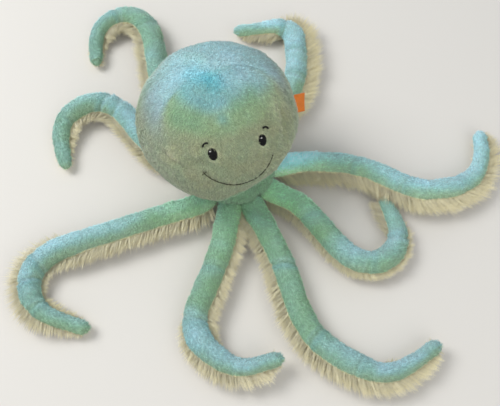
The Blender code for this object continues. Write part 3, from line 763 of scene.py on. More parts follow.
def neck_tuck(azimuth_deg, latitude_deg):
    """How far the cover is drawn in above the arms at the front, as a share."""
    side = smoothstep(azimuth_deg, -24, 2) * (1 - smoothstep(azimuth_deg, 62, 90))
    return side * smoothstep(-np.asarray(latitude_deg), 1, 15)


def head_cage():
    """The head's cover before filling, from the crown down to the base, with the pins that hold its seams."""
    latitudes = list(np.linspace(86.0, NECK_LATITUDE_DEG, HEAD_ROW_COUNT))
    points = [head_point(0, 90)]
    pins = [1.0]
    for latitude in latitudes:
        fuller = HEAD_NECK_FULLNESS * float(smoothstep(-latitude, 12, 40))
        for k, azimuth in enumerate(head_columns(latitude)):
            azimuth = (azimuth + 180) % 360 - 180
            tuck = float(neck_tuck(azimuth, latitude))
            outwards = fuller * (1 - tuck) - HEAD_NECK_TUCK * tuck - CLOTH_ROOM
            points.append(head_point(azimuth, latitude, outwards))
            held = k in HEAD_SEAM_COLUMNS or latitude < NECK_LATITUDE_DEG + 6
            pins.append(1.0 if held else tuck)
    foot = [(0.0250, BASE_RADIUS + 0.0070), (COLLAR_TOP + 0.0020, BASE_RADIUS + 0.0014), (0.004, BASE_RADIUS),
            (FLOOR_CLEARANCE, BASE_RADIUS - 0.0015), (FLOOR_CLEARANCE, BASE_RADIUS * 0.5)]
    for height, radius in foot:
        for azimuth in head_columns(NECK_LATITUDE_DEG):
            points.append(compass(azimuth) * radius + Vector((0, 0, height)))
            pins.append(1.0)
    points.append(Vector((0, 0, FLOOR_CLEARANCE)))
    pins.append(1.0)
    faces = ring_faces(len(latitudes) + len(foot), HEAD_COLUMN_COUNT)
    return mesh_of("head_cover", points, faces), pins


def head_angles(points):
    """Azimuth and latitude in degrees of points on the head."""
    turned = (points - np.array(HEAD_CENTRE)) @ np.array(HEAD_TURN)
    azimuth = np.degrees(np.arctan2(turned[:, 0], -turned[:, 1]))
    latitude = np.degrees(np.arctan2(turned[:, 2] / HEAD_HALF_HEIGHT,
                                     np.hypot(turned[:, 0], turned[:, 1]) / HEAD_RADIUS))
    return azimuth, latitude


def wrapped(angle_deg):
    return (angle_deg + 180) % 360 - 180


def over_cover(angle_deg, latitude):
    """The way over the cover that a turn in azimuth takes at this latitude."""
    return np.radians(angle_deg) * HEAD_RADIUS * np.cos(np.radians(latitude))


def seam_distance(azimuth, latitude, equator_deg):
    """Distance over the cover to a slanted seam."""
    return over_cover(wrapped(azimuth - seam_azimuth(equator_deg, latitude)), latitude)


def distance_to_spot(points, azimuth, latitude):
    return np.linalg.norm(points - np.array(head_point(azimuth, latitude)), axis=1)


def smile_line(count=49):
    points = []
    for k in range(count):
        across = -1 + 2 * k / (count - 1)
        reach, climb = SMILE_ENDS_DEG["right" if across < 0 else "left"]
        latitude = SMILE_LOW_LATITUDE_DEG + climb * abs(across) ** SMILE_CURVE_POWER
        points.append(head_point(SMILE_LOW_AZIMUTH_DEG + reach * abs(across), latitude))
    return points


def tree_of(points):
    tree = KDTree(len(points))
    for k, place in enumerate(points):
        tree.insert(place, k)
    tree.balance()
    return tree


def near_smile(points, azimuth, latitude):
    """Which points lie on the face, and how far each of them is from the smile."""
    face = np.flatnonzero((np.abs(azimuth) < 40) & (np.abs(latitude) < 30))
    tree = tree_of(smile_line())
    return face, np.array([tree.find(p)[2] for p in points[face]])


def dent(distance, width):
    return np.exp(-(distance / width) ** 2)


def lumps(points, size, seed):
    """Smooth noise between -1 and 1 at each point, with features of this size."""
    shift = Vector((seed, seed * 0.37, -seed))
    return np.array([noise.noise(Vector(p) / size + shift) for p in points])


FOLDS = [
    # azimuth, latitude, turn, half length, half width, depth
    (-54, 18, -12, 0.0120, 0.0040, 0.0052),
    (-62, 8, -22, 0.0110, 0.0045, 0.0032),
    (-34, 24, 10, 0.0120, 0.0050, 0.0024),
    (45, 26, 52, 0.0115, 0.0038, 0.0048),
    (53, 37, 60, 0.0090, 0.0036, 0.0026),
]
# Azimuth and lowest latitude of each dart at the crown
DARTS = ((-150, 66), (-100, 72), (-40, 68), (20, 74), (120, 70), (170, 74))
ROOT_GAPS_DEG = (-47.0, -13.0, 20.0, 57.0)


def on_face(points, azimuth, latitude, turn):
    """Points from a spot on the head: their offset, and how far they lie sideways and up."""
    side, up, _ = (np.array(v) for v in head_frame(azimuth, latitude, turn))
    apart = points - np.array(head_point(azimuth, latitude))
    return apart, apart @ side, apart @ up


def fold_depth(points):
    """Soft folds beside the face: a groove with a low swell above it."""
    depth = np.zeros(len(points))
    for azimuth, latitude, turn, half_length, half_width, deepest in FOLDS:
        apart, along, over = on_face(points, azimuth, latitude, turn)
        near = dent(along, half_length) * (np.linalg.norm(apart, axis=1) < 0.03)
        depth += deepest * near * dent(over, half_width)
        depth -= 0.55 * deepest * near * dent(over - 2.1 * half_width, 1.4 * half_width)
    return depth


def clear_of(points, filling):
    """The points, pushed out to the filling's surface where they would lie under it."""
    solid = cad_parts[filling]
    corners = [solid.matrix_world @ v.co for v in solid.data.vertices]
    surface = BVHTree.FromPolygons(corners, [tuple(p.vertices) for p in solid.data.polygons])
    for k, place in enumerate(points):
        spot, normal, _, _ = surface.find_nearest(place)
        if (Vector(place) - spot).dot(normal) < FILLING_ROOM:
            points[k] = spot + normal * FILLING_ROOM
    return points


def shape_head(data):
    """Seams, darts at the crown, uneven filling, and the pulls where the face is sewn."""
    points, normals = points_of(data), normals_of(data)
    azimuth, latitude = head_angles(points)
    body = smoothstep(latitude, -60, -40)
    depth = np.zeros(len(points))
    for equator in (-BACK_SEAM_DEG, -FRONT_SEAM_DEG, FRONT_SEAM_DEG, BACK_SEAM_DEG):
        seam = dent(seam_distance(azimuth, latitude, equator), 0.0020)
        depth = np.maximum(depth, 0.0012 * seam * body * smoothstep(88 - latitude, 2, 22))
    for dart, start in DARTS:
        apart = over_cover(wrapped(azimuth - dart), latitude)
        depth = np.maximum(depth, 0.0006 * dent(apart, 0.0040) * smoothstep(latitude, start, start + 12))
    depth += 0.0010 * dent(distance_to_spot(points, 0, 90), 0.014)
    depth += fold_depth(points)
    for gap in ROOT_GAPS_DEG:
        apart = over_cover(azimuth - gap, latitude)
        depth += 0.0030 * dent(apart, 0.0034) * smoothstep(-latitude, 19, 24) * neck_tuck(azimuth, latitude)
    depth += 0.0012 * dent(latitude + 20.5, 2.2) * neck_tuck(azimuth, -30)
    for side_name in ("left", "right"):
        depth += 0.0012 * dent(distance_to_spot(points, *EYE_PLACES_DEG[side_name][:2]), 0.0075)
        depth += 0.0004 * dent(distance_to_spot(points, *BROW_PLACES_DEG[side_name][:2]), 0.004)
    face, to_smile = near_smile(points, azimuth, latitude)
    depth[face] += 0.0012 * dent(to_smile, 0.0024)
    depth += 0.0036 * dent(distance_to_spot(points, 163, 27), 0.034)
    depth -= 0.0022 * dent(distance_to_spot(points, -100, 15), 0.035)
    uneven = 0.0018 * lumps(points, 0.042, 3.1) + 0.0009 * lumps(points, 0.018, 8.4)
    depth -= uneven * smoothstep(points[:, 2], 0.012, 0.030)
    set_points(data, clear_of(points - normals * depth[:, None], "head_filling"))


DYE_AND_HIGHLIGHT_SPOTS = [
    # azimuth, latitude, radius, colour, strength
    (-45, 84, 0.010, TURQUOISE, 0.95),
    (-16, 79, 0.008, TURQUOISE, 0.85),
    (-110, 76, 0.013, TURQUOISE, 0.55),
    (-30, 68, 0.013, AQUA, 0.60),
    (-70, 66, 0.013, AQUA, 0.50),
    (66, 68, 0.016, PALE_AQUA, 0.95),
    (72, 57, 0.013, PALE_AQUA, 0.80),
    (54, 58, 0.010, AQUA * 0.5 + PALE_AQUA * 0.5, 0.65),
    (-62, 50, 0.013, GREEN, 0.75),
    (-42, 54, 0.010, GREEN, 0.60),
    (14, 62, 0.009, GREEN, 0.65),
    (38, 60, 0.012, GREEN, 0.65),
    (50, 47, 0.011, SAGE, 0.60),
    (-10, 56, 0.0055, AQUA, 0.65),
    # Painted highlights on the puckers and folds beside the face
    (-54, 21, 0.006, CREAM, 0.32),
    (44, 27, 0.005, CREAM, 0.35),
    (52, 40, 0.012, CREAM, 0.22),
    (30, 48, 0.010, SAGE, 0.60),
    (130, 30, 0.040, AQUA, 0.35),
    (-140, 20, 0.040, GREEN, 0.40),
    (170, 45, 0.045, AQUA, 0.40),
    (150, -5, 0.035, GREEN, 0.40),
]


def head_dye_and_painted_light(points, azimuth, latitude):
    """Pale aqua above, green round the brow and olive below, on the front; paler on the other panels."""
    # Partly dye and partly painted light: the pale aqua towards the top stands for cool light from above, and
    # the olive lower down for shade
    front = mixed(OLIVE, SAGE, smoothstep(latitude, 40, 50))
    front = mixed(front, AQUA * 0.6 + PALE_AQUA * 0.4, smoothstep(latitude, 56, 68))
    side = mixed(OLIVE * 0.8 + LILAC * 0.2, LILAC, smoothstep(latitude, 20, 42))
    side = mixed(side, PALE_AQUA, smoothstep(latitude, 34, 60))
    beyond = np.abs(azimuth) - seam_azimuth(FRONT_SEAM_DEG, latitude)
    softness = 4.0 + 16 * smoothstep(58 - latitude, 0, 36)
    dye_and_painted_light = mixed(front, side, smoothstep(beyond / softness, -1, 1))
    for spot_azimuth, spot_latitude, radius, colour, strength in DYE_AND_HIGHLIGHT_SPOTS:
        share = strength * dent(distance_to_spot(points, spot_azimuth, spot_latitude), radius)
        dye_and_painted_light = mixed(dye_and_painted_light, np.array(colour), share)
    collar = smoothstep(-latitude, 21, 25) * smoothstep(azimuth, -30, -5) * (1 - smoothstep(azimuth, 60, 80))
    return mixed(dye_and_painted_light, GREEN, np.maximum(collar, smoothstep(-latitude, 38, 46)))


def dress_head(data):
    """Dye with painted light, shade and highlights, nap and growth of the head's pile."""
    points, normals = points_of(data), normals_of(data)
    azimuth, latitude = head_angles(points)
    dye_and_painted_light = head_dye_and_painted_light(points, azimuth, latitude)
    down = -np.array(HEAD_UP)
    nap = down - normals * (normals @ down)[:, None]
    swirl = np.cross(normals, nap) * (0.35 * np.sin(np.radians(azimuth * 3 + latitude * 2)))[:, None]
    nap = nap + swirl
    nap /= np.maximum(np.linalg.norm(nap, axis=1), 0.05)[:, None]
    growth = smoothstep(points[:, 2], 0.002, 0.006)
    for place in EYE_PLACES_DEG.values():
        apart, across, over = on_face(points, *place)
        near = np.linalg.norm(apart, axis=1) < 0.02
        oval = np.hypot(across / EYE_HALF_WIDTH, over / EYE_HALF_HEIGHT)
        dye_and_painted_light = mixed(dye_and_painted_light, CREAM, 0.45 * near * dent(oval - 1.22, 0.12))
        growth *= 1 - near * (1 - smoothstep(oval, 1.0, 1.2))
    face, to_smile = near_smile(points, azimuth, latitude)
    growth[face] *= smoothstep(to_smile, 0.0006, 0.0017)
    paint(data, "dye_and_painted_light", dye_and_painted_light, "FLOAT_COLOR")
    paint(data, "nap", nap, "FLOAT_VECTOR")
    paint(data, "growth", growth)


# Arm covers


class Arm:
    """One arm's line on the floor, the tube's size along it, and its fringe."""

    def __init__(self, name, root_deg, length, tip_lift, bends, fringe, creases, aqua):
        self.name = name
        self.root_deg, self.length, self.tip_lift = root_deg, length, tip_lift
        self.bends, self.fringe_keys, self.creases, self.aqua_keys = bends, fringe, creases, aqua
        # Painted light: the arm's colour is lifted all along and more so at its root, against the head's
        # shade
        self.tone, self.painted_root_light = ARM_PAINTED_LIGHT.get(name, PLAIN_PAINTED_LIGHT)
        steps = 240
        middles = (np.arange(steps) + 0.5) / steps
        heading = np.radians(self.heading(middles))
        moves = np.column_stack([np.sin(heading), -np.cos(heading)]) * (length / steps)
        self.root = np.array(compass(root_deg)[:2]) * ARM_RING_RADIUS
        self.line = self.root + np.vstack([[0, 0], np.cumsum(moves, axis=0)])
        self.line_along = np.linspace(0, length, steps + 1)

    def heading(self, share):
        total = np.full(np.shape(share), float(self.root_deg))
        for start, end, turn in self.bends:
            total = total + turn * smoothstep(share, start, end)
        return total

    def forward(self, along):
        angle = np.radians(self.heading(np.clip(along / self.length, 0, 1)))
        return np.stack([np.sin(angle), -np.cos(angle)], axis=-1)

    def place(self, along):
        found = np.stack([np.interp(along, self.line_along, self.line[:, k]) for k in (0, 1)], axis=-1)
        before = np.minimum(along, 0.0)[..., None]
        return found + before * np.array(compass(self.root_deg)[:2])

    def section(self, along):
        """Half width, half height and centre height of the stuffed tube."""
        swell = smoothstep(along, 0, ROOT_SWELL_LENGTH)
        taper = 1 - 0.40 * smoothstep(along / self.length, 0.62, 0.97)
        half_width = (ARM_ROOT_HALF_WIDTH + (ARM_HALF_WIDTH - ARM_ROOT_HALF_WIDTH) * swell) * taper
        half_height = (ARM_ROOT_HALF_HEIGHT + (ARM_HALF_HEIGHT - ARM_ROOT_HALF_HEIGHT) * swell) * taper
        underlay = FUR_ROOT_UNDERLAY + (FUR_UNDERLAY - FUR_ROOT_UNDERLAY) * swell
        lift = self.tip_lift * smoothstep(along / self.length, 0.72, 1.0)
        into_root = np.clip((-along - ROOT_TUCK) / ROOT_TUCK, 0, 1)
        into_tip = np.clip(1 - (self.length - along) / TIP_ROUNDING, 0, 1)
        rounding = np.sqrt(np.maximum(1 - np.maximum(into_root, into_tip) ** 2.2, 0.0))
        return half_width * rounding, half_height * rounding, half_height + underlay + lift

    def fringe(self, along):
        shares, left, right = np.array(self.fringe_keys).T
        share = np.clip(along / self.length, 0, 1)
        return np.interp(share, shares, left), np.interp(share, shares, right)

    def aqua(self, along):
        shares, values = np.array(self.aqua_keys).T
        return np.interp(np.clip(along / self.length, 0, 1), shares, values)

    def seams(self, along):
        """Elevation of the seam on the tube's left and right side, in degrees."""
        left, right = self.fringe(along)
        roll = SEAM_ROLL_DEG * np.clip(left - right, -1, 1) * smoothstep(along, 0.0, 0.03)
        return SEAM_BELOW_SIDE_DEG + roll, SEAM_BELOW_SIDE_DEG - roll

    def nearest(self, points):
        """Distance along the line, and sideways to the left, of points."""
        tree = tree_of([(x, y, 0) for x, y in self.line])
        index = np.array([tree.find((x, y, 0))[1] for x, y in points[:, :2]])
        along = self.line_along[index]
        forward = self.forward(along)
        apart = points[:, :2] - self.line[index]
        along = along + np.einsum("ij,ij->i", apart, forward)
        left = apart[:, 1] * forward[:, 0] - apart[:, 0] * forward[:, 1]
        return along, left


TOP_COLUMNS = 10
BOTTOM_COLUMNS = 6
STATION_PITCH = 0.0042


def arm_cage(name, arm):
    """The arm's cover before filling: columns follow the two seams, rows follow the line."""
    root_side = [-ROOT_TUCK * s for s in (1.97, 1.75, 1.4, 1.0, 0.0)]
    count = int((arm.length - TIP_ROUNDING) / STATION_PITCH)
    middle = [(arm.length - TIP_ROUNDING) * (k + 1) / count for k in range(count)]
    tip_side = [arm.length - TIP_ROUNDING * (1 - s) for s in (0.35, 0.65, 0.85, 0.96)]
    alongs = np.array(root_side + middle + tip_side)
    half_width, half_height, centre = arm.section(alongs)
    seam_left, seam_right = arm.seams(alongs)
    place, forward = arm.place(alongs), arm.forward(alongs)
    points, pins = [], []

    def pole(along):
        flat = arm.place(np.array([along]))[0]
        height = arm.section(np.array([along]))[2][0]
        return (flat[0], flat[1], height)

    points.append(pole(-2 * ROOT_TUCK))
    pins.append(1.0)
    for i, along in enumerate(alongs):
        top = np.linspace(seam_left[i], 180 - seam_right[i], TOP_COLUMNS + 1)[:-1]
        bottom = np.linspace(180 - seam_right[i], 360 + seam_left[i], BOTTOM_COLUMNS + 1)[:-1]
        for k, angle in enumerate(np.radians(np.concatenate([top, bottom]))):
            out, up = half_width[i] * math.cos(angle), half_height[i] * math.sin(angle)
            shrink = 1 - 0.0004 / max(math.hypot(out, up), 0.004)
            out, up = out * shrink, up * shrink
            left = (-forward[i][1], forward[i][0])
            points.append((place[i][0] + left[0] * out, place[i][1] + left[1] * out,
                           max(centre[i] + up, FLOOR_CLEARANCE + 0.0012)))
            creased = max(math.exp(-((along / arm.length - share) * arm.length / 0.004) ** 2) * depth
                          for share, depth, _ in arm.creases)
            held = k in (0, TOP_COLUMNS) or along < 0.004
            pins.append(1.0 if held else min(0.9, creased))
    points.append(pole(arm.length))
    pins.append(1.0)
    rows, columns = len(alongs), TOP_COLUMNS + BOTTOM_COLUMNS
    faces = [(face[0], *reversed(face[1:])) for face in ring_faces(rows, columns)]
    numbers = [int(k >= TOP_COLUMNS) for k in range(columns) for _ in range(rows + 1)]
    return mesh_of(name, points, faces, numbers), pins


def shape_arm(data, arm, seed):
    """Creases across the top of the arm, and uneven filling."""
    points, normals = points_of(data), normals_of(data)
    along, left = arm.nearest(points)
    rise = np.zeros(len(points))
    uneven = 0.0016 * lumps(points, 0.010, seed + 9)
    for share, depth, tilt in arm.creases:
        apart = np.abs(along + uneven - share * arm.length - tilt * left)
        groove = CREASE_DEPTH * np.exp(-apart / CREASE_HALF_WIDTH)
        swell = CREASE_SWELL * np.exp(-(apart / CREASE_SWELL_HALF_WIDTH) ** 2)
        rise += depth * (swell - groove) * smoothstep(normals[:, 2], -0.3, 0.3)
    filling = 0.0011 * lumps(points, 0.018, seed) + 0.0004 * lumps(points, 0.007, seed + 5)
    rise += filling * smoothstep(along, 0, 0.02)
    points = clear_of(points + normals * rise[:, None], arm.name + "_filling")
    points[:, 2] = np.maximum(points[:, 2], FLOOR_CLEARANCE + 0.0008)
    set_points(data, points)


def dress_arm(data, arm, seed):
    """Dye with painted light and shade, nap, reach and growth over the cover; the fur's part is below the
    seams.
    """
    points, normals = points_of(data), normals_of(data)
    along, left = arm.nearest(points)
    half_width, half_height, centre = arm.section(along)
    angle = np.degrees(np.arctan2((points[:, 2] - centre) / np.maximum(half_height, 1e-4),
                                  left / np.maximum(half_width, 1e-4)))
    seam_left, seam_right = arm.seams(along)
    over = np.where(np.abs(angle) < 90, angle - seam_left, (180 - angle % 360) - seam_right)
    plush = over > 0
    # Green to aqua along the arm, as the keys give: partly dye and partly painted light
    aqua = np.clip(arm.aqua(along) + 0.25 * lumps(points, 0.02, 2.2), 0, 1)
    dye_and_painted_light = mixed(GREEN, ARM_AQUA, aqua)
    # Painted light: faces turned towards +Y and up are painted pale aqua, as cool light from above and behind
    # shows them, and faces turned towards -Y are painted sage, as a warmer light shows them
    far = normals[:, 1] * 0.8 + normals[:, 2] * 0.35
    dye_and_painted_light = mixed(dye_and_painted_light, PALE_AQUA, smoothstep(far, -0.05, 0.70) * (0.15 + 0.85 * aqua))
    near = smoothstep(-normals[:, 1], 0.0, 0.8)
    dye_and_painted_light = mixed(dye_and_painted_light, SAGE, near * (0.40 + 0.40 * aqua))
    # Painted light: lighter all along the arm and more so at its root, against the head's shade
    dye_and_painted_light = dye_and_painted_light * (arm.tone + arm.painted_root_light * (1 - smoothstep(along, 0.01, 0.08)))[:, None]
    # Painted highlight on the rim before each crease, darker aqua painted as shade beyond it, painted shade
    # in it
    creased, uneven = np.zeros(len(points)), 0.0016 * lumps(points, 0.010, seed + 9)
    for crease_share, depth, tilt in arm.creases:
        apart = along + uneven - crease_share * arm.length - tilt * left
        creased = np.maximum(creased, depth * dent(apart, 0.0018))
        dye_and_painted_light = mixed(dye_and_painted_light, PALE_AQUA, 0.30 * depth * dent(apart + 0.0036, 0.0018))
        dye_and_painted_light = mixed(dye_and_painted_light, AQUA * 0.8, 0.5 * depth * dent(apart - 0.0045, 0.0035))
    dye_and_painted_light = dye_and_painted_light * (1 - 0.25 * creased)[:, None]
    dye_and_painted_light = np.where(plush[:, None], dye_and_painted_light, CREAM)
    forward = np.column_stack([arm.forward(along), np.zeros(len(along))])
    side = np.column_stack([-forward[:, 1], forward[:, 0], np.zeros(len(along))])
    outward = side * np.sign(left)[:, None]
    plush_nap = forward * 0.9 + outward * 0.35
    plush_nap -= normals * np.einsum("ij,ij->i", plush_nap, normals)[:, None]
    fur_nap = forward * 0.52 + outward * 1.0 + np.array([0, 0, 0.28])
    fringe_left, fringe_right = arm.fringe(along)
    share = np.where(left > 0, fringe_left, fringe_right)
    beside = smoothstep(np.abs(left) / np.maximum(half_width, 1e-4), 0.35, 0.8) * smoothstep(share, 0.02, 0.2)
    fur_growth = np.where(plush, 0.0, 0.10 + 0.90 * beside) * smoothstep(along, -0.001, 0.006)
    fur_growth *= smoothstep(arm.length - along, 0.001, 0.006)
    plush_growth = smoothstep(over, -2, 2) * smoothstep(along, -0.006, -0.003)
    plush_growth *= 1 - 0.75 * np.clip(creased, 0, 1)
    paint(data, "dye_and_painted_light", dye_and_painted_light, "FLOAT_COLOR")
    paint(data, "nap", plush_nap, "FLOAT_VECTOR")
    paint(data, "growth", plush_growth)
    fur = data.copy()
    paint(fur, "dye_and_painted_light", np.tile(CREAM, (len(points), 1)), "FLOAT_COLOR")
    paint(fur, "nap", fur_nap, "FLOAT_VECTOR")
    paint(fur, "reach", 0.35 + 0.65 * share)
    paint(fur, "growth", fur_growth)
    return data.copy(), fur


# Face, tag and stitches


def head_frame(azimuth_deg, latitude_deg, turn_deg=0.0):
    """Side, up and outward directions on the head, with side and up turned about outward."""
    outward = (head_point(azimuth_deg, latitude_deg) - HEAD_CENTRE).normalized()
    up = (HEAD_UP - outward * HEAD_UP.dot(outward)).normalized()
    turn = Matrix.Rotation(math.radians(turn_deg), 3, outward)
    return turn @ up.cross(outward), turn @ up, outward


EYE_LIFT = 0.0006
GLINT_PLACE = (-0.0013, 0.0038, 0.0013)


def lay_on(piece, cover, direction, lift):
    """Moves a flat piece onto the cover: its X is side, its Y is up and its Z is outward."""
    side, up, outward = head_frame(*direction)
    middle = head_point(direction[0], direction[1])
    hit = cover.ray_cast(middle + outward * 0.02, -outward)[0]
    points = points_of(piece.data)
    placed = []
    for x, y, z in points:
        drop = (x * x + y * y) / (2 * HEAD_RADIUS)
        placed.append(hit + side * x + up * y + outward * (z + lift - drop))
    set_points(piece.data, placed)


def oval_pad(name, half_width, half_height, thickness, material):
    """A low dome under the satin threads."""
    points = [(0, 0, thickness)]
    rings = [(0.4, 0.94), (0.75, 0.7), (0.95, 0.35), (0.97, -0.6)]
    count = 24
    for share, rise in rings:
        for k in range(count):
            angle = 2 * math.pi * k / count
            points.append((half_width * share * math.cos(angle), half_height * share * math.sin(angle),
                           thickness * rise))
    faces = ring_faces(len(rings), count, closed=False)
    last = 1 + (len(rings) - 1) * count
    faces.append(tuple(last + k for k in reversed(range(count))))
    return add_piece(name, mesh_of(name, points, faces), material)


def belongs(piece, slot, body, *replaced):
    """The nodes that a piece stands for, which are hidden, its slot, which is not used, and the body that it
    rides on.
    """
    if replaced:
        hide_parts(*replaced)
    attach(piece, body)


def sewn(name, cover, points, lift, stitches, thread):
    """Stitches along points dropped onto the cover; stitches are count, length and thread radius."""
    found = []
    for place in points:
        outward = (place - HEAD_CENTRE).normalized()
        hit = cover.ray_cast(place + outward * 0.02, -outward)[0]
        found.append((hit or place) + outward * lift)
    line = bpy.data.meshes.new("line")
    line.from_pydata([tuple(p) for p in found], [(k, k + 1) for k in range(len(found) - 1)], [])
    sizes = dict(zip(("Stitch Count", "Stitch Length", "Thread Radius"), stitches))
    return grown(name, line, RUNNING_STITCHES, {**sizes, "Material": thread})


def satin(name, half_width, half_height, pitch, thread_radius, arch, thread):
    sizes = {"Half Width": half_width, "Half Height": half_height, "Pitch": pitch,
             "Thread Radius": thread_radius, "Arch": arch, "Material": thread}
    return grown(name, bpy.data.meshes.new("seat"), SATIN_STITCHES, sizes)


def make_eye(side_name, cover):
    direction = EYE_PLACES_DEG[side_name]
    name = "eye_%s_" % side_name
    pad = oval_pad(name + "pad", EYE_HALF_WIDTH * 0.97, EYE_HALF_HEIGHT * 0.97, 0.0011, BLACK_THREAD)
    lay_on(pad, cover, direction, EYE_LIFT)
    threads = satin(name + "satin", EYE_HALF_WIDTH, EYE_HALF_HEIGHT, 0.00036, 0.00021, 0.0012, BLACK_THREAD)
    lay_on(threads, cover, direction, EYE_LIFT)
    glint = satin(name + "glint", 0.0009, 0.0006, 0.00034, 0.00018, 0.0003, WHITE_THREAD)
    set_points(glint.data, points_of(glint.data) + np.array(GLINT_PLACE))
    lay_on(glint, cover, direction, EYE_LIFT)
    belongs(pad, "black_thread", "head", "eye_" + side_name)
    belongs(threads, "black_thread", "head")
    belongs(glint, "white_thread", "head", "eye_glint_" + side_name)


def make_brow(side_name, cover):
    azimuth, latitude, turn = BROW_PLACES_DEG[side_name]
    side, up, _ = head_frame(azimuth, latitude, turn)
    middle = head_point(azimuth, latitude)
    points = []
    for across in np.linspace(-1, 1, 17).tolist():
        points.append(middle + side * (BROW_HALF_LENGTH * across) + up * (BROW_ARCH * (1 - across ** 2)))
    piece = sewn("brow_%s_stitches" % side_name, cover, points, 0.0014, (6, 0.0026, 0.00090), BLACK_THREAD)
    belongs(piece, "black_thread", "head", "brow_" + side_name)


def make_smile(cover):
    piece = sewn("smile_back_stitches", cover, smile_line(), 0.0012, (27, 0.0037, 0.00056), CHARCOAL_THREAD)
    reach, climb = SMILE_ENDS_DEG["right"]
    end_place = (SMILE_LOW_AZIMUTH_DEG + reach, SMILE_LOW_LATITUDE_DEG + climb)
    side, up, _ = head_frame(*end_place)
    end = head_point(*end_place)
    points = [end + side * x + up * y for x, y in ((-0.0018, -0.0019), (0.0, 0.0), (0.0018, 0.0019))]
    tick = sewn("smile_tick", cover, points, 0.0010, (3, 0.0024, 0.00050), CHARCOAL_THREAD)
    belongs(piece, "charcoal_thread", "head", "smile_stitches")
    belongs(tick, "charcoal_thread", "head")


def make_closing(cover):
    points = []
    for k in range(STITCH_COUNT):
        climb = (k - (STITCH_COUNT - 1) / 2) * STITCH_PITCH
        latitude = STITCH_LATITUDE_DEG + math.degrees(climb / HEAD_HALF_HEIGHT)
        across = math.degrees(STITCH_HALF_WIDTH / HEAD_RADIUS) * (-1) ** k
        points.append(head_point(seam_azimuth(-BACK_SEAM_DEG, latitude) + across, latitude))
    piece = sewn("closing_ladder_stitches", cover, points, 0.0012, (25, 0.0042, 0.0004), PALE_THREAD)
    belongs(piece, "charcoal_thread", "head", "closing_stitches")


def make_tag():
    """The folded ribbon: one loop of cloth with a rounded fold, sewn in at its two ends."""
    thickness, gap, fold, seam_half, bow = 0.00045, 0.0009, 0.0012, 0.00008, 0.0009
    half_width_deg = math.degrees(TAG_WIDTH / 2 / HEAD_RADIUS)
    low, high = [head_point(seam_azimuth(BACK_SEAM_DEG, lat), lat)
                 for lat in (TAG_LATITUDE_DEG - half_width_deg, TAG_LATITUDE_DEG + half_width_deg)]
    along = (high - low).normalized()
    seam_deg = seam_azimuth(BACK_SEAM_DEG, TAG_LATITUDE_DEG)
    outward = head_frame(seam_deg, TAG_LATITUDE_DEG)[2]
    across = along.cross(outward)
    root = head_point(seam_deg, TAG_LATITUDE_DEG, 0.0001)
    outline = []
    for k in range(13):
        out = (TAG_REACH - fold) * k / 12
        outline.append((out, seam_half + gap / 2 * smoothstep(out, 0, 0.006)))
    for k in range(1, 6):
        angle = math.pi / 2 * (1 - k / 6)
        outline.append((TAG_REACH - fold + fold * math.cos(angle), (seam_half + gap / 2) * math.sin(angle)))
    outline.append((TAG_REACH, 0.0))
    loop = outline + [(x, -y) for x, y in reversed(outline[:-1])]
    columns = 17
    points, uvs = [], []
    for c in range(columns):
        shift = (c / (columns - 1) - 0.5) * TAG_WIDTH
        for k, (out, side) in enumerate(loop):
            sag = bow * math.sin(math.pi * c / (columns - 1)) * smoothstep(out, 0.002, TAG_REACH)
            points.append(root + outward * out + across * (side + sag) + along * shift)
            uvs.append((k / len(loop) * 1.35, c / (columns - 1)))
    faces = []
    for c in range(columns - 1):
        for k in range(len(loop) - 1):
            a, b = c * len(loop) + k, (c + 1) * len(loop) + k
            faces.append((a, b, b + 1, a + 1))
    data = mesh_of("tag_ribbon", points, faces)
    layer = data.uv_layers.new(name="weave")
    for corner in data.loops:
        layer.data[corner.index].uv = uvs[corner.vertex_index]
    piece = add_piece("tag_ribbon", data, AMBER_RIBBON)
    wall = piece.modifiers.new("wall", "SOLIDIFY")
    wall.thickness = thickness
    wall.offset = 0.0
    belongs(piece, "amber_ribbon", "tag", "side_tag")


# The whole toy

PILE = {"Density": PILE_PER_AREA, "Length": PILE_LENGTH, "Width": PILE_STRAND_WIDTH, "Floor": FLOOR_CLEARANCE,
        "Material": PLUSH_PILE}
FRINGE = {"Density": FRINGE_TUFTS_PER_AREA, "Length": FRINGE_LENGTH, "Width": FRINGE_STRAND_WIDTH,
          "Spread": 0.19, "Clump Size": 0.006, "Clump Lean": 0.55, "Floor": FLOOR_CLEARANCE,
          "Material": FUR_STRANDS}


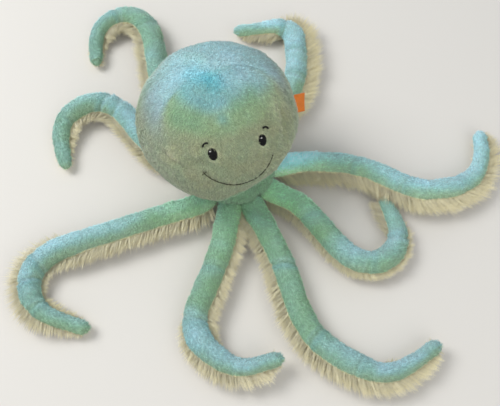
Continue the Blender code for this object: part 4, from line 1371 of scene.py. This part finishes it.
def make_toy():
    arms = {name: Arm(name, *values) for name, values in ARMS.items()}
    cages = {name: arm_cage(name + "_cover", arm) for name, arm in arms.items()}
    head, head_pins = head_cage()
    jobs = [(head, head_pins, 4.0, 0.0025)]
    jobs += [(cage, pins, 12.0, 0.0020) for cage, pins in cages.values()]
    stuff(jobs)

    head = finer(head, 2)
    shape_head(head)
    dress_head(head)
    cover = add_piece("head_cover", head, PLUSH_CLOTH)
    surface = BVHTree.FromPolygons([v.co for v in head.vertices], [p.vertices for p in head.polygons])
    for half, name in ((1, "front"), (-1, "back")):
        part = head.copy()
        growth = np.empty(len(part.vertices), np.float32)
        part.attributes["growth"].data.foreach_get("value", growth)
        facing = (HEAD_CENTRE.y - points_of(part)[:, 1]) * half > 0
        paint(part, "growth", growth * facing)
        pile = grown("head_pile_" + name, part, SHORT_PILE,
                     {**PILE, "Lean": 1.7, "Spread": 0.45, "Clump Size": 0.0030, "Clump Lean": 2.6,
                      "Clump Squeeze": (1.0, 1.0, 0.4), "Seed": 7})
        belongs(pile, "mint_plush", "head")
    belongs(cover, "mint_plush", "head", "head_front_panel", "head_left_gusset", "head_right_gusset",
            "head_back_panel", "base_panel")

    for side_name in ("left", "right"):
        make_eye(side_name, surface)
        make_brow(side_name, surface)
    make_smile(surface)
    make_closing(surface)
    make_tag()

    for seed, (name, arm) in enumerate(arms.items()):
        body = finer(cages[name][0], 1)
        shape_arm(body, arm, seed)
        plush_source, fur_source = dress_arm(body, arm, seed)
        pile = grown(name + "_pile", plush_source, SHORT_PILE,
                     {**PILE, "Lean": 1.5, "Spread": 0.5, "Clump Size": 0.0034, "Clump Lean": 3.0,
                      "Clump Squeeze": (1.0, 1.0, 1.0), "Seed": seed})
        fringe = grown(name + "_fringe", fur_source, LONG_FUR, {**FRINGE, "Seed": seed})
        skin = add_piece(name + "_cover", body, PLUSH_CLOTH, FUR_CLOTH)
        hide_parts(name + "_plush")
        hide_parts(name + "_fur")
        for piece, slot in ((skin, "mint_plush"), (pile, "mint_plush"), (fringe, "cream_fur")):
            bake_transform(piece)

    for node_name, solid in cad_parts.items():
        if node_name.endswith("filling"):
            solid.data.materials.clear()
            solid.data.materials.append(FIBRE)


# Room


def pale_floor():
    made = bpy.data.materials.new("pale_floor")
    made.use_nodes = True
    shader = made.node_tree.nodes["Principled BSDF"]
    shader.inputs["Base Color"].default_value = (*srgb(0.84, 0.83, 0.81), 1.0)
    shader.inputs["Roughness"].default_value = 0.9
    corners = [(x * FLOOR_REACH, y * FLOOR_REACH, 0) for x, y in ((-1, -1), (1, -1), (1, 1), (-1, 1))]
    floor = add_piece("floor", mesh_of("floor", corners, [(0, 1, 2, 3)]), made)


def studio_light():
    world = bpy.data.worlds.new("room")
    bpy.context.scene.world = world
    world.use_nodes = True
    sky = world.node_tree.nodes["Background"]
    sky.inputs["Color"].default_value = SKY_COLOUR
    sky.inputs["Strength"].default_value = SKY_STRENGTH
    for name, (place, power, size, colour) in LAMPS.items():
        data = bpy.data.lights.new(name, "AREA")
        data.energy = power
        data.size = size
        data.color = colour
        lamp = in_scene(name, data)
        lamp.location = place
        lamp.rotation_euler = (-Vector(place)).to_track_quat("-Z", "Y").to_euler()


def set_camera():
    data = bpy.data.cameras.new("view")
    data.lens = CAMERA_LENS_MM
    data.sensor_width = 36.0
    camera = in_scene("view", data)
    a, e = math.radians(CAMERA_AZIMUTH_DEG), math.radians(CAMERA_ELEVATION_DEG)
    back = Vector((math.sin(a) * math.cos(e), -math.cos(a) * math.cos(e), math.sin(e)))
    camera.location = CAMERA_PLACE
    camera.rotation_euler = (-back).to_track_quat("-Z", "Y").to_euler()
    bpy.context.scene.camera = camera
    bpy.context.scene.view_settings.view_transform = "Standard"


set_camera()
studio_light()
pale_floor()
make_toy()
